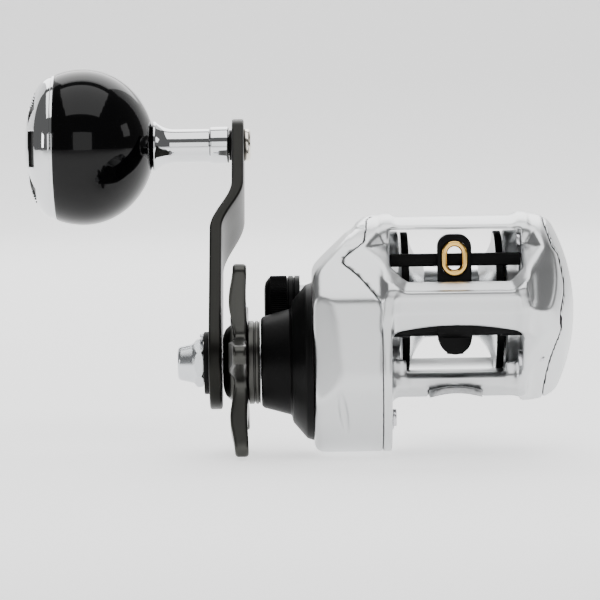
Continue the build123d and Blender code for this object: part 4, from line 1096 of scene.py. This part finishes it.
class REEL_OT_spool(bpy.types.Operator):
    """Turns the spool, with its dished flanges and dark rims"""
    bl_idname = "reel.spool"
    bl_label = "Spool"

    def execute(self, context):
        s = ends("spool")[1]
        r, arbor = 20.5, 10.0
        rim = s - 2.1
        side = np.linspace(0, 1, 20)
        inner = np.stack([rim - 5.1 * side ** 1.6, r - (r - arbor) * side ** 0.85], -1)
        dish = np.stack([s - 5.6 * (1 - side) ** 1.3,
                         (arbor - 1.6) + (r - 1.2 - arbor + 1.6) * side], -1)
        half = [(s - 7.6, 2.3), (s - 7.6, 4.0), (2.6, 5.0), (2.6, arbor - 1.8), *dish[:-1],
                (s, r - 1.2), (s, r), (rim, r), *inner[1:-1], (0.0, arbor)]
        half = np.array(half)
        profile = np.vstack([half, half[-2::-1] * [-1, 1]])
        spool = turned("line_spool", profile, SPOOL_AXIS, 0.25, ring=True, segments=220)
        place(spool, "spool")
        centres = face_centres(spool)
        out = np.hypot(centres[:, 1] - SPOOL_AXIS[0], centres[:, 2] - SPOOL_AXIS[1])
        second_finish(spool, "black_trim", out > r - 0.6)
        return {"FINISHED"}


class REEL_OT_small_pieces(bpy.types.Operator):
    """Softens the edges of the foot, thumb bar, screws, spindle and brake plate"""
    bl_idname = "reel.small_pieces"
    bl_label = "Small pieces"

    def execute(self, context):
        for node in ("reel_foot", "thumb_bar"):
            place(softened(node, 1.5), node)
        for node in ("gear_cover_screws", "palm_cover_screws", "foot_screws", "knob_spindle",
                     "brake_plate"):
            place(softened(node), node)
        return {"FINISHED"}


class REEL_OT_stage(bpy.types.Operator):
    """Makes the pale floor, the soft studio lights and the camera"""
    bl_idname = "reel.stage"
    bl_label = "Stage"

    def execute(self, context):
        self.backdrop(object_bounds()[0][2] / MM - 0.5)
        self.lights(context)
        self.camera(context)
        return {"FINISHED"}

    def backdrop(self, floor):
        """A floor that sweeps up into a wall: straight, a quarter turn, then straight up."""
        turn = np.linspace(0, math.pi / 2, 24)
        radius, reach = 900.0, 1500.0
        path = np.vstack([[-2500, 0], np.stack([reach + radius * np.sin(turn),
                                                radius - radius * np.cos(turn)], -1),
                          [reach + radius, 4200]])
        x = np.linspace(-3200, 3200, 3)
        grid = np.stack([np.broadcast_to(x, (len(path), 3)),
                         np.broadcast_to(path[:, :1], (len(path), 3)),
                         np.broadcast_to(path[:, 1:] + floor, (len(path), 3))], -1)
        sweep = surface("backdrop", grid)
        paper = Finish("pale_paper", (0.93, 0.93, 0.93), 0.0, 0.9)
        paper.tint(paper.noise(0.4, 1.0), 0.01)
        paper.shader.inputs["Emission Color"].default_value = (1, 1, 1, 1)
        paper.links.new(self.glow(paper), paper.shader.inputs["Emission Strength"])
        sweep.data.materials.append(paper.material)
        sweep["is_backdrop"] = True

    def glow(self, paper):
        """Glow that fades out in front of the reel, so that its shells keep their contrast."""
        along = paper.nodes.new("ShaderNodeSeparateXYZ")
        paper.links.new(paper.coords, along.inputs["Vector"])
        ramp = paper.nodes.new("ShaderNodeMapRange")
        ramp.inputs["From Min"].default_value = -0.7
        ramp.inputs["From Max"].default_value = -0.2
        ramp.inputs["To Min"].default_value = 0.1
        ramp.inputs["To Max"].default_value = 1.0
        paper.links.new(along.outputs["Y"], ramp.inputs["Value"])
        return ramp.outputs["Result"]

    def lights(self, context):
        """Large soft boxes: above, left, right, in front and behind."""
        world = bpy.data.worlds.new("studio")
        context.scene.world = world
        world.use_nodes = True
        world.node_tree.nodes["Background"].inputs["Color"].default_value = (1, 1, 1, 1)
        world.node_tree.nodes["Background"].inputs["Strength"].default_value = 0.16
        boxes = {
            "top_box": ((0.0, -0.2, 1.2), (0.0, 0.0, 0.0), 1.2, 12.0),
            "left_box": ((-1.5, -0.8, 0.35), (0.0, 0.0, 0.0), 0.5, 4.0),
            "right_box": ((1.5, -0.1, 0.6), (0.0, 0.0, 0.0), 0.4, 1.2),
            "front_box": ((0.0, -1.9, 0.34), (0.0, 0.0, 0.02), 1.1, 7.0),
            "back_box": ((0.0, 1.1, 1.0), (0.0, 0.0, 0.0), 1.2, 14.0),
        }
        for name, (place_at, aim, size, power) in boxes.items():
            light = bpy.data.lights.new(name, "AREA")
            light.size = size
            light.energy = power
            lamp = bpy.data.objects.new(name, light)
            direction = np.array(aim) - np.array(place_at)
            lamp.location = place_at
            lamp.rotation_euler = look_angles(direction)
            context.scene.collection.objects.link(lamp)

    def camera(self, context):
        """A long lens a metre in front, a little above the spool axis and rolled slightly."""
        view = bpy.data.cameras.new("camera")
        view.lens = 215.6
        view.sensor_width = 36.0
        eye = bpy.data.objects.new("camera", view)
        rise, distance = math.radians(3.5), 1.05
        target = np.array([-0.0440, 0.0, 0.0253])
        eye.location = target + distance * np.array([0, -math.cos(rise), math.sin(rise)])
        pitch, _, yaw = look_angles(target - np.array(eye.location))
        eye.rotation_euler = (pitch, 0.0, yaw)
        eye.rotation_euler = rolled(eye.rotation_euler, math.radians(-0.9))
        context.scene.collection.objects.link(eye)
        context.scene.camera = eye


def look_angles(direction):
    """Euler angles that point an object's -Z along direction, with its +Y up."""
    return Vector(direction).to_track_quat("-Z", "Y").to_euler()


def rolled(euler, angle):
    """The same view turned by angle about its own line of sight."""
    return (euler.to_matrix() @ Matrix.Rotation(angle, 3, "Z")).to_euler()


PIECES = ["carried_pieces", "frame", "gear_cover", "palm_cover", "case_cap", "cast_control", "star",
          "handle_arm", "nut", "ball_knob", "line_guide", "spool", "small_pieces", "stage"]


class REEL_PT_pieces(bpy.types.Panel):
    """The reel's sizes, colours and pieces"""
    bl_idname = "REEL_PT_pieces"
    bl_label = "Reel"
    bl_space_type = "VIEW_3D"
    bl_region_type = "UI"
    bl_category = "Reel"

    def draw(self, context):
        for group in (context.scene.reel_sizes, context.scene.reel_colours):
            for name in group.__annotations__:
                self.layout.prop(group, name)
        for piece in PIECES:
            self.layout.operator(f"reel.{piece}")


CLASSES = [ReelSizes, ReelColours, REEL_OT_carried_pieces, REEL_OT_frame, REEL_OT_gear_cover,
           REEL_OT_palm_cover, REEL_OT_case_cap, REEL_OT_cast_control, REEL_OT_star,
           REEL_OT_handle_arm, REEL_OT_nut, REEL_OT_ball_knob, REEL_OT_line_guide,
           REEL_OT_spool, REEL_OT_small_pieces, REEL_OT_stage, REEL_PT_pieces]


def register():
    for cls in CLASSES:
        bpy.utils.register_class(cls)
    bpy.types.Scene.reel_sizes = PointerProperty(type=ReelSizes)
    bpy.types.Scene.reel_colours = PointerProperty(type=ReelColours)


def unregister():
    del bpy.types.Scene.reel_sizes
    del bpy.types.Scene.reel_colours
    for cls in reversed(CLASSES):
        bpy.utils.unregister_class(cls)


def main():
    register()
    for piece in PIECES:
        getattr(bpy.ops.reel, piece)()


if __name__ == "__main__":
    main()
